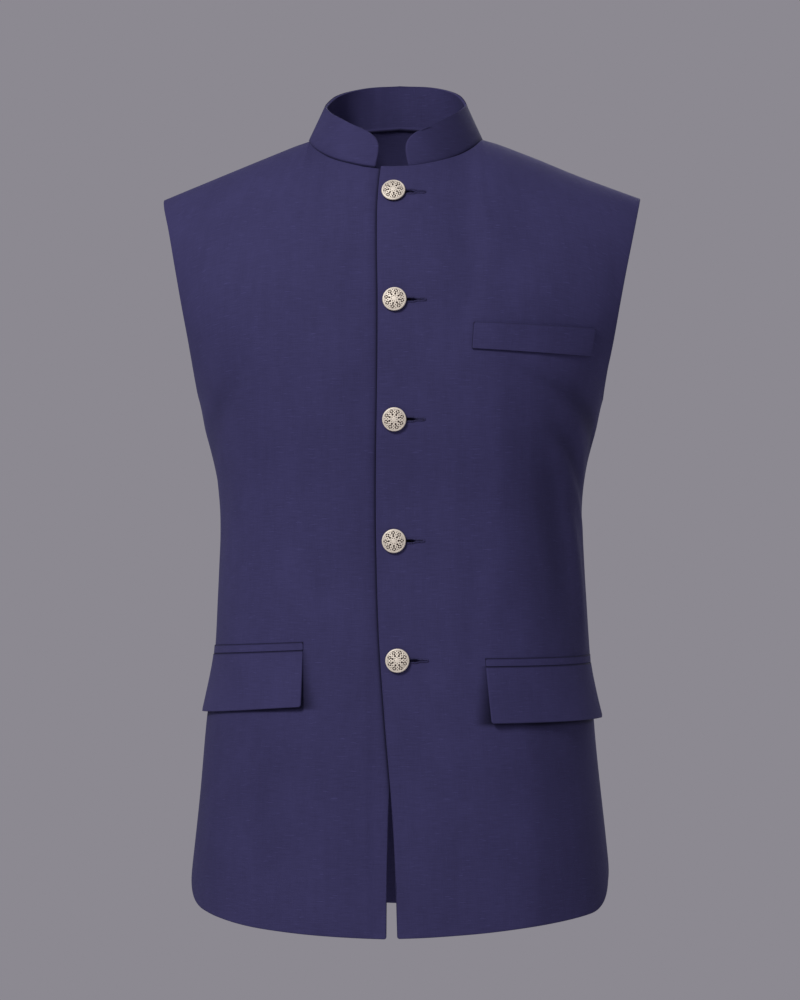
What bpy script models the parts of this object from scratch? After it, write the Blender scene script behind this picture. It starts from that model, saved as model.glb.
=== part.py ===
"""Nehru jacket: a sleeveless coat with a stand collar, filled out as it is when worn, with no wearer in it.

Metres, +Z up. The wearer faces -Y, so the wearer's left is +X.
The origin is the middle of the neck, level with the points where the shoulder seams meet the collar.
Each cloth piece is a wall made on one body form, whose sections follow the tables below.
"""

import math
from collections import namedtuple

import bmesh
import bpy
import numpy as np
from mathutils import Matrix, Vector

# Cloth
WALL = 0.0022
COLLAR_WALL = 0.0030
FLAP_WALL = 0.0024
JET_WALL = 0.0012
SEAM_GAP = 0.0003
PANEL_CLEARANCE = 0.0007
FRONT_CLEARANCE = 0.0006

# Body form
SQUARENESS = 2.4
ARMPIT = -0.241
HEM = -0.7245
NECK_HALF_WIDTH = 0.079
NECK_FRONT = 0.080
NECK_BACK = 0.070
SHOULDER_TIP = (0.221, -0.0557)
RIDGE_REACH = 0.160
RIDGE_FADE = 0.050
NECK_SHARE = 0.43
ARMHOLE_SCOOP = 0.003
NECK_LEAN = 0.0042
NECK_LEAN_FROM = -0.16
NECK_LEAN_TO = -0.03

# Hem and side vents
CORNER_RADIUS = 0.071
CORNER_STEPS = 6
HEM_RISE = 0.021
HEM_RISE_POWER = 1.35
HEM_RISE_FADE = 0.25
VENT_HEIGHT = 0.105
VENT_PARTING = 0.0012
FRONT_CORNER = 0.0025

# Collar
RIM_HALF_WIDTH = 0.0642
RIM_FRONT = 0.0745
RIM_BACK = 0.0625

# Grids, in cells
FRONT_COLUMNS = 18
BACK_COLUMNS = 30
SIDE_ROWS = 12
CHEST_ROWS = 13
COLLAR_COLUMNS = 40
FLAP_COLUMNS = 11
FLAP_ROWS = 4
WELT_COLUMNS = 9
WELT_ROWS = 2
ARC_SAMPLES = 49

# Buttons
BUTTON_RADIUS = 0.0108
BUTTON_HEIGHT = 0.0038
BUTTON_SIDES = 24
BUTTON_LIFT = 0.0011
SHANK_RADIUS = 0.0013
HOLE_RADIUS = 0.0021
SLIT_WIDTH = 0.0010
SLIT_LENGTH = 0.0255

Width = namedtuple("Width", "height half_width")
WIDTHS = [
    Width(-0.735, 0.1965),
    Width(-0.685, 0.1940),
    Width(-0.650, 0.1905),
    Width(-0.595, 0.1845),
    Width(-0.540, 0.1795),
    Width(-0.455, 0.1720),
    Width(-0.400, 0.1688),
    Width(-0.365, 0.1670),
    Width(-0.338, 0.1675),
    Width(-0.300, 0.1725),
    Width(-0.271, 0.1800),
    Width(-0.241, 0.1875),
    Width(-0.221, 0.1951),
    Width(-0.204, 0.2021),
    Width(-0.185, 0.2096),
    Width(-0.148, 0.2254),
    Width(-0.102, 0.2386),
    Width(-0.056, 0.2500),
    Width(0.030, 0.2600),
]

Depth = namedtuple("Depth", "height front back")
DEPTHS = [
    Depth(-0.735, 0.1320, 0.1330),
    Depth(-0.620, 0.1320, 0.1300),
    Depth(-0.540, 0.1310, 0.1220),
    Depth(-0.455, 0.1270, 0.1080),
    Depth(-0.378, 0.1240, 0.1000),
    Depth(-0.330, 0.1260, 0.1040),
    Depth(-0.260, 0.1340, 0.1170),
    Depth(-0.200, 0.1345, 0.1230),
    Depth(-0.150, 0.1280, 0.1220),
    Depth(-0.100, 0.1180, 0.1160),
    Depth(-0.050, 0.1080, 0.1060),
    Depth(0.000, 0.1000, 0.0960),
    Depth(0.030, 0.0980, 0.0900),
]

Ridge = namedtuple("Ridge", "across front back")
RIDGES = [
    Ridge(0.000, 0.0260, 0.0735),
    Ridge(0.020, 0.0235, 0.0680),
    Ridge(0.040, 0.0157, 0.0525),
    Ridge(0.056, 0.0080, 0.0350),
    Ridge(0.068, 0.0035, 0.0190),
    Ridge(0.079, 0.0000, 0.0060),
    Ridge(0.092, -0.0050, -0.0022),
    Ridge(0.110, -0.0122, -0.0110),
    Ridge(0.150, -0.0279, -0.0277),
    Ridge(0.221, -0.0557, -0.0557),
    Ridge(0.260, -0.0710, -0.0710),
]

Ring = namedtuple("Ring", "angle neckline rim")
COLLAR_HEIGHTS = [
    Ring(0, -0.0310, 0.0005),
    Ring(15, -0.0297, 0.0012),
    Ring(27, -0.0265, 0.0040),
    Ring(45, -0.0195, 0.0145),
    Ring(67, -0.0082, 0.0240),
    Ring(80, -0.0018, 0.0285),
    Ring(90, 0.0000, 0.0315),
    Ring(104, 0.0012, 0.0372),
    Ring(117, 0.0040, 0.0440),
    Ring(137, 0.0105, 0.0515),
    Ring(153, 0.0150, 0.0555),
    Ring(180, 0.0185, 0.0578),
]

CollarEnd = namedtuple("CollarEnd", "height_share from_centre")
COLLAR_ENDS = [
    CollarEnd(0.00, 0.0150),
    CollarEnd(0.27, 0.0132),
    CollarEnd(0.57, 0.0124),
    CollarEnd(0.78, 0.0146),
    CollarEnd(0.94, 0.0205),
    CollarEnd(1.00, 0.0275),
]

Overlap = namedtuple("Overlap", "height over under")
OVERLAPS = [
    Overlap(-0.735, -0.0038, -0.0065),
    Overlap(-0.640, -0.0006, -0.0052),
    Overlap(-0.600, 0.0020, -0.0036),
    Overlap(-0.530, 0.0079, 0.0060),
    Overlap(-0.455, 0.0132, 0.0150),
    Overlap(-0.370, 0.0158, 0.0150),
    Overlap(-0.200, 0.0138, 0.0150),
    Overlap(-0.100, 0.0130, 0.0150),
    Overlap(-0.060, 0.0115, 0.0150),
    Overlap(-0.031, 0.0092, 0.0145),
]

Fold = namedtuple("Fold", "piece from_centre height length width lean depth")
FOLDS = [
    Fold("front_left", 0.062, -0.110, 0.100, 0.018, 4, -0.0014),
    Fold("front_left", 0.215, -0.290, 0.090, 0.013, 48, -0.0026),
    Fold("front_left", 0.190, -0.335, 0.110, 0.015, 40, 0.0020),
    Fold("front_left", 0.205, -0.380, 0.080, 0.012, 58, -0.0018),
    Fold("front_left", 0.105, -0.560, 0.170, 0.028, -4, -0.0016),
    Fold("front_right", 0.212, -0.295, 0.085, 0.014, 46, -0.0020),
    Fold("front_right", 0.170, -0.350, 0.100, 0.016, 36, 0.0015),
    Fold("front_right", 0.120, -0.590, 0.150, 0.030, 3, -0.0015),
    Fold("back", 0.004, -0.330, 0.130, 0.024, 0, -0.0022),
    Fold("back", 0.085, -0.200, 0.100, 0.022, 14, -0.0015),
    Fold("back", -0.092, -0.215, 0.095, 0.024, -12, -0.0016),
    Fold("back", 0.150, -0.345, 0.090, 0.016, -50, -0.0018),
    Fold("back", -0.155, -0.335, 0.085, 0.016, 52, -0.0015),
    Fold("back", 0.095, -0.560, 0.160, 0.030, 5, 0.0026),
    Fold("back", -0.080, -0.580, 0.150, 0.028, -4, 0.0022),
]

ButtonPlace = namedtuple("ButtonPlace", "height aside")
BUTTONS = [
    ButtonPlace(-0.0540, 0.0000),
    ButtonPlace(-0.1538, 0.0005),
    ButtonPlace(-0.2617, 0.0000),
    ButtonPlace(-0.3703, -0.0003),
    ButtonPlace(-0.4773, 0.0026),
]

Pocket = namedtuple("Pocket", "name side top_front top_outer lean stand_off")
HIP_POCKETS = [
    Pocket("left", 1, -0.4755, -0.4760, 0.0060, 0.0085),
    Pocket("right", -1, -0.4612, -0.4685, 0.0000, 0.0060),
]
POCKET_FROM_CENTRE = 0.0830
FLAP_LENGTH = 0.1480
FLAP_DEPTH = 0.0515
FLAP_FRONT_STAND_OFF = 0.0035
JET_DEPTH = 0.0075
JET_OVERHANG = 0.0018
FLAP_FALLS = 1.6

WeltEdge = namedtuple("WeltEdge", "inner_across inner_height outer_across outer_height")
CHEST_WELT = [WeltEdge(0.0698, -0.1992, 0.1745, -0.2045), WeltEdge(0.0712, -0.1753, 0.1780, -0.1792)]

Face = namedtuple("Face", "sign column neck_angle")
FRONT = Face(-1, "front", 0)
BACK = Face(1, "back", 180)

# Looks: name, colour as linear red, green, blue, roughness, metallic
CLOTH_LOOK = ("suiting", (0.040, 0.036, 0.105), 0.85, 0.0)
BUTTON_LOOK = ("button metal", (0.72, 0.60, 0.46), 0.35, 0.9)


def column(rows, field):
    return np.array([getattr(row, field) for row in rows])


def smooth(rows, across, field, at):
    """Reads a table's column at any place, on one smooth curve through its rows."""
    xs, ys = column(rows, across), column(rows, field)
    at = np.clip(np.asarray(at, float), xs[0], xs[-1])
    k = np.clip(np.searchsorted(xs, at) - 1, 0, len(xs) - 2)
    slopes = np.gradient(ys, xs)
    step = xs[k + 1] - xs[k]
    t = (at - xs[k]) / step
    rising = ys[k] * (1 + 2 * t) * (1 - t) ** 2 + ys[k + 1] * t * t * (3 - 2 * t)
    return rising + step * t * (1 - t) * (slopes[k] * (1 - t) - slopes[k + 1] * t)


def ease(at, start, end):
    t = np.clip((np.asarray(at, float) - start) / (end - start), 0, 1)
    return t * t * (3 - 2 * t)


def unit(vectors):
    return vectors / np.linalg.norm(vectors, axis=-1, keepdims=True)


def section(face, height, share):
    """The body form at a height: share 0 is its centre line and 1 its side seam, by length of cloth."""
    half_width = smooth(WIDTHS, "height", "half_width", height)
    depth = smooth(DEPTHS, "height", face.column, height)
    turn = np.linspace(0, math.pi / 2, ARC_SAMPLES)
    across, out = np.sin(turn) ** (2 / SQUARENESS), np.cos(turn) ** (2 / SQUARENESS)
    out[-1] = 0
    found = np.empty((len(height), 3))
    for i, (a, b) in enumerate(zip(half_width, depth)):
        run = np.concatenate([[0], np.cumsum(np.hypot(np.diff(a * across), np.diff(b * out)))])
        at = abs(share[i]) * run[-1]
        found[i, 0] = math.copysign(np.interp(at, run, a * across), share[i])
        found[i, 1] = np.interp(at, run, b * out) * face.sign
        found[i, 2] = run[-1]
    return found[:, 0], found[:, 1], found[:, 2]


def quarter_length(face, height):
    height = np.atleast_1d(np.asarray(height, float))
    return section(face, height, np.ones_like(height))[2]


def neck_ring(angle, half_width, front, back):
    turn = np.radians(angle)
    depth = np.where(angle < 90, front, back)
    return half_width * np.sin(turn), -depth * np.cos(turn)


def top_edge(face, share):
    """The panel's top: the neckline from the centre to the collar's side, then the shoulder seam."""
    along_neck = np.minimum(np.abs(share) / NECK_SHARE, 1)
    angle = np.abs(face.neck_angle - 90 * along_neck)
    x, y = neck_ring(angle, NECK_HALF_WIDTH, NECK_FRONT, NECK_BACK)
    z = smooth(COLLAR_HEIGHTS, "angle", "neckline", angle)
    out = np.clip((np.abs(share) - NECK_SHARE) / (1 - NECK_SHARE), 0, 1)
    x = x + (SHOULDER_TIP[0] - NECK_HALF_WIDTH) * out
    z = z + SHOULDER_TIP[1] * out
    y = np.where(along_neck < 1, y, face.sign * SEAM_GAP / 2)
    return x * np.sign(share + 1e-12), y, z


def full_depth(face, x, z):
    """How far out the form would be at a place seen from the front, if it had no shoulders."""
    half_width = smooth(WIDTHS, "height", "half_width", z)
    within = np.clip(np.abs(x) / half_width, 0, 1)
    return smooth(DEPTHS, "height", face.column, z) * (1 - within**SQUARENESS) ** (1 / SQUARENESS)


def chest(face, share, up):
    """The form above the armpit, rounded off to the shoulders' ridge: up is 0 at the armpit, 1 at the top edge."""
    low_x, low_y, _ = section(face, np.full_like(share, ARMPIT), share)
    top_x, top_y, top_z = top_edge(face, share)
    scoop = ARMHOLE_SCOOP * np.sin(math.pi * up) * np.abs(share) ** 6
    x = low_x + (top_x - low_x) * up - scoop * np.sign(share)
    z = ARMPIT + (top_z - ARMPIT) * up
    part = np.clip(np.abs(top_y) / full_depth(face, top_x, top_z), 0, 1)
    needed = top_z + RIDGE_REACH * (1 - np.sqrt(1 - part**2))
    missing = needed - smooth(RIDGES, "across", face.column, np.abs(top_x))
    near_edge = 1 - ease(top_z - z, 0, RIDGE_FADE)
    drop = smooth(RIDGES, "across", face.column, np.abs(x)) + missing * near_edge - z
    rounded = np.sqrt(1 - (1 - np.clip(drop / RIDGE_REACH, 0, 1)) ** 2)
    y = face.sign * full_depth(face, x, z) * rounded
    y = np.where(up < 1, y, top_y)
    return np.stack([x, np.where(up > 0, y, low_y), z], axis=-1)


def body_form(face, share, height, up):
    """Points on the form. Below the armpit they are placed by height, above it by up."""
    share, height, up = (np.asarray(v, float).ravel() for v in (share, height, up))
    x, y, _ = section(face, np.minimum(height, ARMPIT), share)
    points = np.stack([x, y, height], axis=-1)
    above = up > 0
    if above.any():
        points[above] = chest(face, share[above], up[above])
    return points


def leaned(points):
    """The neck sits a little to the wearer's right, as it does on a figure at ease."""
    x, z = points[..., 0], points[..., 2]
    shift = NECK_LEAN * ease(z, NECK_LEAN_FROM, NECK_LEAN_TO)
    centre = 1 - np.clip(np.abs(x) / SHOULDER_TIP[0], 0, 1) ** 2
    moved = points.copy()
    moved[..., 0] = x - shift * centre
    return moved


def fold_height(piece, from_centre, height):
    """How far the cloth's soft troughs and ridges move it out at a place on a piece."""
    moved = np.zeros_like(from_centre)
    for fold in FOLDS:
        if fold.piece != piece:
            continue
        lean = math.radians(fold.lean)
        right, up = from_centre - fold.from_centre, height - fold.height
        along = up * math.cos(lean) + right * math.sin(lean)
        beside = right * math.cos(lean) - up * math.sin(lean)
        spread = (along / fold.length) ** 2 + (beside / fold.width) ** 2
        moved += fold.depth * np.exp(-spread)
    return moved


def sunk(piece, x):
    """The under front lies behind the over front near the centre line, and returns to the form beside it."""
    if piece != "front_right":
        return np.zeros_like(x)
    return -(WALL + FRONT_CLEARANCE) * ease(x, -0.056, -0.020)


def normals_of(grid):
    along = np.gradient(grid, axis=1)
    up = np.gradient(grid, axis=0)
    return unit(np.cross(along, up))


def flattened(normals):
    """Normals on a side or shoulder seam, shared by the two pieces that meet there."""
    flat = normals.copy()
    flat[..., 1] = 0
    return unit(flat)


def cloth(piece, face, side, share, height, up, seams=True):
    """A grid of points on a piece, with its folds, and the way out at each point."""
    points = body_form(face, share, height, up).reshape(share.shape + (3,))
    points[..., 0] *= side
    points = leaned(points)
    outward = normals_of(points) * (-side * face.sign)
    if seams:
        outward[:, -1] = flattened(outward[:, -1])
        shoulder = share[-1] > NECK_SHARE
        outward[-1, shoulder] = flattened(outward[-1, shoulder])
    if seams and face is BACK:
        outward[:, 0] = flattened(outward[:, 0])
        shoulder = share[-1] < -NECK_SHARE
        outward[-1, shoulder] = flattened(outward[-1, shoulder])
    length = quarter_length(face, np.minimum(height, ARMPIT).ravel()).reshape(share.shape)
    held = 1 - ease(np.abs(share), 0.93, 1)
    move = fold_height(piece, share * length, points[..., 2]) * held + sunk(piece, points[..., 0])
    return points + outward * move[..., None], outward


def wall(name, outer, inner, look):
    """A closed wall between two grids of points."""
    rows, columns = outer.shape[:2]
    outside, inside = outer.reshape(-1, 3), inner.reshape(-1, 3)
    bm = bmesh.new()
    place = bm.verts.layers.int.new("place")
    bmesh.ops.create_grid(bm, x_segments=columns - 1, y_segments=rows - 1, size=1)
    for index, vert in enumerate(bm.verts):
        vert[place] = index
    grown = bmesh.ops.extrude_face_region(bm, geom=bm.faces[:])
    far = {item for item in grown["geom"] if isinstance(item, bmesh.types.BMVert)}
    for vert in bm.verts:
        vert.co = (inside if vert in far else outside)[vert[place]]
    bmesh.ops.recalc_face_normals(bm, faces=bm.faces)
    if bm.calc_volume(signed=True) < 0:
        bmesh.ops.reverse_faces(bm, faces=bm.faces)
    return finished(name, bm, look)


def finished(name, bm, look):
    mesh = bpy.data.meshes.new(name)
    bm.to_mesh(mesh)
    bm.free()
    mesh.shade_smooth()
    mesh.set_sharp_from_angle(angle=math.radians(40))
    mesh.materials.append(material(*look))
    obj = bpy.data.objects.new(name, mesh)
    bpy.context.scene.collection.objects.link(obj)
    return obj


def material(name, colour, roughness, metallic):
    made = bpy.data.materials.get(name)
    if made:
        return made
    made = bpy.data.materials.new(name)
    made.use_nodes = True
    shader = made.node_tree.nodes["Principled BSDF"]
    shader.inputs["Base Color"].default_value = (*colour, 1)
    shader.inputs["Roughness"].default_value = roughness
    shader.inputs["Metallic"].default_value = metallic
    return made


def row_heights():
    """Heights of the rows below the armpit, measured from the hem's lowest line: close at the round corner."""
    corner = CORNER_RADIUS * (1 - np.cos(np.linspace(0, math.pi / 2, CORNER_STEPS)))
    return np.concatenate([corner, np.linspace(CORNER_RADIUS, ARMPIT - HEM, SIDE_ROWS + 1)[1:]])


def side_inset(above_hem):
    """How far a panel stops short of the side seam: the corner's round, the vent's parting, then the seam."""
    short = CORNER_RADIUS - np.clip(above_hem, 0, CORNER_RADIUS)
    round_off = CORNER_RADIUS - math.sqrt(CORNER_RADIUS**2 - short**2)
    parting = VENT_PARTING * (1 - ease(above_hem, VENT_HEIGHT - 0.01, VENT_HEIGHT))
    return round_off + parting + SEAM_GAP / 2


def panel_rows(face, edge):
    """For each row, the share at both edges, and the rule that places its points."""
    rows = []
    for above_hem in row_heights():
        height = HEM + above_hem
        length = quarter_length(face, height)[0]
        corner = FRONT_CORNER if above_hem == 0 else 0
        start = None if edge is None else -(edge(height) - corner) / length
        rows.append((start, 1 - side_inset(above_hem) / length, above_hem, 0.0))
    neck_arc = quarter_length(face, ARMPIT)[0]
    for up in (1 - np.cos(np.linspace(0, math.pi, CHEST_ROWS + 1)[1:])) / 2:
        height = ARMPIT + up * (COLLAR_HEIGHTS[0].neckline - ARMPIT)
        start = None if edge is None else -edge(height) / neck_arc
        rows.append((start, 1.0, None, up))
    return rows


def panel_grid(face, edge, columns):
    share, height, up = [], [], []
    for start, end, above_hem, lift in panel_rows(face, edge):
        shares = np.linspace(-end if start is None else start, end, columns + 1)
        share.append(shares)
        up.append(np.full_like(shares, lift))
        if above_hem is None:
            height.append(np.full_like(shares, ARMPIT))
            continue
        rise = HEM_RISE * np.abs(shares) ** HEM_RISE_POWER * (1 - ease(above_hem, 0, HEM_RISE_FADE))
        height.append(HEM + above_hem + rise)
    return np.array(share), np.array(height), np.array(up)


def panel(name, face, side, edge, columns):
    share, height, up = panel_grid(face, edge, columns)
    outer, outward = cloth(name, face, side, share, height, up)
    return wall(name, outer, outer - outward * WALL, CLOTH_LOOK)


def over_edge(height):
    return float(smooth(OVERLAPS, "height", "over", height))


def under_edge(height):
    return float(smooth(OVERLAPS, "height", "under", height))


def strip(name, piece, side, share, height, up, clearance, thickness):
    """A piece that lies on a front: the front's own points, moved out by its clearance."""
    points, outward = cloth(piece, FRONT, side, share, height, up, seams=False)
    inner = points + outward * np.asarray(clearance)[..., None]
    return wall(name, inner + outward * thickness, inner, CLOTH_LOOK)


def collar():
    rows = []
    for end in COLLAR_ENDS:
        half_width = NECK_HALF_WIDTH + (RIM_HALF_WIDTH - NECK_HALF_WIDTH) * end.height_share
        first = math.degrees(math.asin(end.from_centre / half_width))
        angles = np.linspace(first, 360 - first, COLLAR_COLUMNS + 1)
        half = np.minimum(angles, 360 - angles)
        low = (*neck_ring(half, NECK_HALF_WIDTH, NECK_FRONT, NECK_BACK),
               smooth(COLLAR_HEIGHTS, "angle", "neckline", half) + SEAM_GAP)
        high = (*neck_ring(half, RIM_HALF_WIDTH, RIM_FRONT, RIM_BACK),
                smooth(COLLAR_HEIGHTS, "angle", "rim", half))
        low, high = np.stack(low, axis=-1), np.stack(high, axis=-1)
        row = low + (high - low) * end.height_share
        row[:, 0] *= np.where(angles <= 180, 1, -1)
        rows.append(row)
    points = np.array(rows)
    outward = unit(-normals_of(points))
    level = unit(points * (1, 1, 0))
    points = leaned(points + level * sunk("front_right", points[..., 0])[..., None])
    return wall("collar", points, points - outward * COLLAR_WALL, CLOTH_LOOK)


def share_at(across, height):
    """The share and the rise above the armpit at which the front form passes through a place seen from the front."""
    shares = np.linspace(0, 1, 201)
    low_x, _, _ = section(FRONT, np.full_like(shares, ARMPIT), shares)
    top_x, _, top_z = top_edge(FRONT, shares)
    up = 0.5
    for _ in range(20):
        share = np.interp(across, low_x + (top_x - low_x) * up, shares)
        up = (height - ARMPIT) / (np.interp(share, shares, top_z) - ARMPIT)
    return share, up


def chest_welt():
    low, high = (np.array(edge) for edge in CHEST_WELT)
    places = []
    for level in np.linspace(0, 1, WELT_ROWS + 1):
        edge = low + (high - low) * level
        for along in np.linspace(0, 1, WELT_COLUMNS + 1):
            places.append(share_at(*(edge[:2] + (edge[2:] - edge[:2]) * along)))
    share, up = np.array(places).T.reshape(2, WELT_ROWS + 1, WELT_COLUMNS + 1)
    height = np.full_like(share, ARMPIT)
    clearance = np.full_like(share, PANEL_CLEARANCE)
    return strip("chest_welt", "front_left", 1, share, height, up, clearance, WALL)


def pocket_grid(pocket, start, end, top, bottom, columns, rows):
    """Rows from low to high, between two distances from the centre and two drops below the pocket's top line."""
    share, height = [], []
    for level in np.linspace(0, 1, rows + 1):
        drop = bottom + (top - bottom) * level
        along = np.linspace(start, end, columns + 1)
        part = (along - start) / (end - start)
        line = pocket.top_front + (pocket.top_outer - pocket.top_front) * part
        slant = pocket.lean * drop / FLAP_DEPTH * (1 - part)
        heights = line - drop
        share.append((along + slant) / quarter_length(FRONT, heights))
        height.append(heights)
    return np.array(share), np.array(height)


def hip_pocket(pocket):
    piece = "front_left" if pocket.side > 0 else "front_right"
    start, end = POCKET_FROM_CENTRE, POCKET_FROM_CENTRE + FLAP_LENGTH
    share, height = pocket_grid(
        pocket, start - JET_OVERHANG, end + JET_OVERHANG, 0, JET_DEPTH, FLAP_COLUMNS, 1
    )
    clearance = np.full_like(share, PANEL_CLEARANCE)
    level = np.zeros_like(share)
    name = "hip_jet_" + pocket.name
    strip(name, piece, pocket.side, share, height, level, clearance, JET_WALL)
    flap_top = JET_DEPTH + SEAM_GAP
    flap_bottom = flap_top + FLAP_DEPTH
    share, height = pocket_grid(pocket, start, end, flap_top, flap_bottom, FLAP_COLUMNS, FLAP_ROWS)
    fall = np.linspace(1, 0, FLAP_ROWS + 1)[:, None] ** FLAP_FALLS
    along = np.linspace(0, 1, FLAP_COLUMNS + 1)[None, :]
    reach = FLAP_FRONT_STAND_OFF + (pocket.stand_off - FLAP_FRONT_STAND_OFF) * along**2
    clearance = PANEL_CLEARANCE + reach * fall
    level = np.zeros_like(share)
    name = "hip_flap_" + pocket.name
    return strip(name, piece, pocket.side, share, height, level, clearance, FLAP_WALL)


def button_seat(place):
    """A frame on the over front at a button: its own Z is the way out of the cloth."""
    step = 0.004
    offsets = np.array([-step, 0, step])
    if place.height < ARMPIT:
        heights = place.height + np.repeat(offsets, 3).reshape(3, 3)
        ups = np.zeros((3, 3))
    else:
        heights = np.full((3, 3), ARMPIT)
        spans = COLLAR_HEIGHTS[0].neckline - ARMPIT
        ups = (place.height + np.repeat(offsets, 3).reshape(3, 3) - ARMPIT) / spans
    lengths = quarter_length(FRONT, heights.ravel()).reshape(3, 3)
    shares = (place.aside + np.tile(offsets, (3, 1))) / lengths
    points, outward = cloth("front_left", FRONT, 1, shares, heights, ups, seams=False)
    out = Vector(outward[1, 1])
    right = Vector((1, 0, 0))
    up = out.cross(right).normalized()
    right = up.cross(out).normalized()
    seat = Matrix((right, up, out)).transposed().to_4x4()
    seat.translation = Vector(points[1, 1])
    return seat


def button(number, place):
    """A domed metal button, its shank reaching down through the buttonhole to the front below."""
    shank_end = -(WALL + FRONT_CLEARANCE - SEAM_GAP)
    bm = bmesh.new()
    outline = [
        (0.0, shank_end),
        (SHANK_RADIUS, shank_end),
        (SHANK_RADIUS, BUTTON_LIFT),
        (BUTTON_RADIUS * 0.94, BUTTON_LIFT),
        (BUTTON_RADIUS, BUTTON_LIFT + BUTTON_HEIGHT * 0.25),
        (BUTTON_RADIUS * 0.93, BUTTON_LIFT + BUTTON_HEIGHT * 0.66),
        (BUTTON_RADIUS * 0.50, BUTTON_LIFT + BUTTON_HEIGHT * 0.92),
        (0.0, BUTTON_LIFT + BUTTON_HEIGHT),
    ]
    verts = [bm.verts.new((radius, 0, rise)) for radius, rise in outline]
    edges = [bm.edges.new(pair) for pair in zip(verts, verts[1:])]
    bmesh.ops.spin(
        bm, geom=verts + edges, cent=(0, 0, 0), axis=(0, 0, 1), angle=math.tau, steps=BUTTON_SIDES,
        use_merge=True,
    )
    bmesh.ops.remove_doubles(bm, verts=bm.verts, dist=1e-6)
    bmesh.ops.recalc_face_normals(bm, faces=bm.faces)
    made = finished(f"button_{number}", bm, BUTTON_LOOK)
    made.matrix_world = button_seat(place)
    return made


def buttonhole(front, number, place):
    """Cuts one slit through the over front: round at the shank, straight towards the side."""
    bm = bmesh.new()
    turns = np.linspace(math.radians(20), math.radians(340), 11)
    outline = [(HOLE_RADIUS * math.cos(a), HOLE_RADIUS * math.sin(a)) for a in turns]
    outline += [(SLIT_LENGTH, -SLIT_WIDTH / 2), (SLIT_LENGTH, SLIT_WIDTH / 2)]
    verts = [bm.verts.new((x, y, -2 * WALL)) for x, y in outline]
    face = bm.faces.new(verts)
    grown = bmesh.ops.extrude_face_region(bm, geom=[face])
    lifted = [item for item in grown["geom"] if isinstance(item, bmesh.types.BMVert)]
    bmesh.ops.translate(bm, verts=lifted, vec=(0, 0, 4 * WALL))
    bmesh.ops.recalc_face_normals(bm, faces=bm.faces)
    cutter = finished(f"buttonhole_{number}", bm, CLOTH_LOOK)
    cutter.matrix_world = button_seat(place)
    cutter.hide_render = True
    cutter.display_type = "WIRE"
    cut = front.modifiers.new(f"buttonhole {number}", "BOOLEAN")
    cut.operation = "DIFFERENCE"
    cut.object = cutter


def main():
    for obj in list(bpy.data.objects):
        bpy.data.objects.remove(obj)
    front_left = panel("front_left", FRONT, 1, over_edge, FRONT_COLUMNS)
    panel("front_right", FRONT, -1, under_edge, FRONT_COLUMNS)
    panel("back", BACK, 1, None, BACK_COLUMNS)
    collar()
    chest_welt()
    for pocket in HIP_POCKETS:
        hip_pocket(pocket)
    for number, place in enumerate(BUTTONS, start=1):
        buttonhole(front_left, number, place)
        button(number, place)


main()
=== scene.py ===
"""The nehru jacket's looks: its cloth, sewing, buttons and stage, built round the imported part.

Metres, +Z up. The wearer faces -Y, so the wearer's left is +X.
Each cloth piece is a thin wall on the same body form as its solid, on a finer grid and with more creases.
"""

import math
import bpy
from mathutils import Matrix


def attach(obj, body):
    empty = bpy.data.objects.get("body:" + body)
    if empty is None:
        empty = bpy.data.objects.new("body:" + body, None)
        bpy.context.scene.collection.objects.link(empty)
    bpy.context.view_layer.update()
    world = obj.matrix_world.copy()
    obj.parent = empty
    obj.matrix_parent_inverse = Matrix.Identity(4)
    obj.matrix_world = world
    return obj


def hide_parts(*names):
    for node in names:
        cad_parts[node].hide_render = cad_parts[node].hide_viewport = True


bl_info = {
    "name": "Nehru Jacket",
    "version": (1, 0, 0),
    "blender": (4, 5, 0),
    "location": "View3D > Sidebar > Jacket",
    "description": "Makes a sleeveless stand-collar jacket with metal buttons",
    "category": "Object",
}

from collections import namedtuple

import bmesh
import bpy
import numpy as np
from bpy.props import FloatProperty, FloatVectorProperty, PointerProperty
from bpy.types import Operator, Panel, PropertyGroup
from mathutils import Matrix, Vector

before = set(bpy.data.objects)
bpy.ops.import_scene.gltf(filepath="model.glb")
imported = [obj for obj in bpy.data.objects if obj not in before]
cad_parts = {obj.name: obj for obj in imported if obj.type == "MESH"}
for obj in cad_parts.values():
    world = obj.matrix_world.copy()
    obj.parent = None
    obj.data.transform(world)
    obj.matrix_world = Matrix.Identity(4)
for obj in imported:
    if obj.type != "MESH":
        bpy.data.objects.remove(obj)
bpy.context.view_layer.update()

# Columns that are names, shares or angles in degrees
UNSCALED = {"name", "side", "angle", "share", "lean", "turn", "sag"}


def table(fields, *rows):
    """Rows with named columns. Lengths are written in millimetres and read in metres."""
    names = fields.split()
    row = namedtuple("Row", names)
    return [row(*(v if name in UNSCALED else v / 1000 for name, v in zip(names, values))) for values in rows]


# Cloth
WALL = 0.0022
COLLAR_WALL = 0.0030
FLAP_WALL = 0.0024
JET_WALL = 0.0012
SEAM_GAP = 0.00004
FRONT_CLEARANCE = 0.0006
EDGE_DIP = 0.0010

# Body form
SQUARENESS = 2.4
ARMPIT = -0.241
HEM = -0.7245
NECK = (0.079, 0.080, 0.070)  # half-width, front and back depth of the neckline
SHOULDER_TIP = (0.221, -0.0557)
RIDGE_REACH = 0.160
RIDGE_FADE = 0.050
NECK_SHARE = 0.43
ARMHOLE_SCOOP = 0.003
NECK_LEAN = 0.0042
NECK_LEANS_OVER = (-0.16, -0.03)

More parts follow.
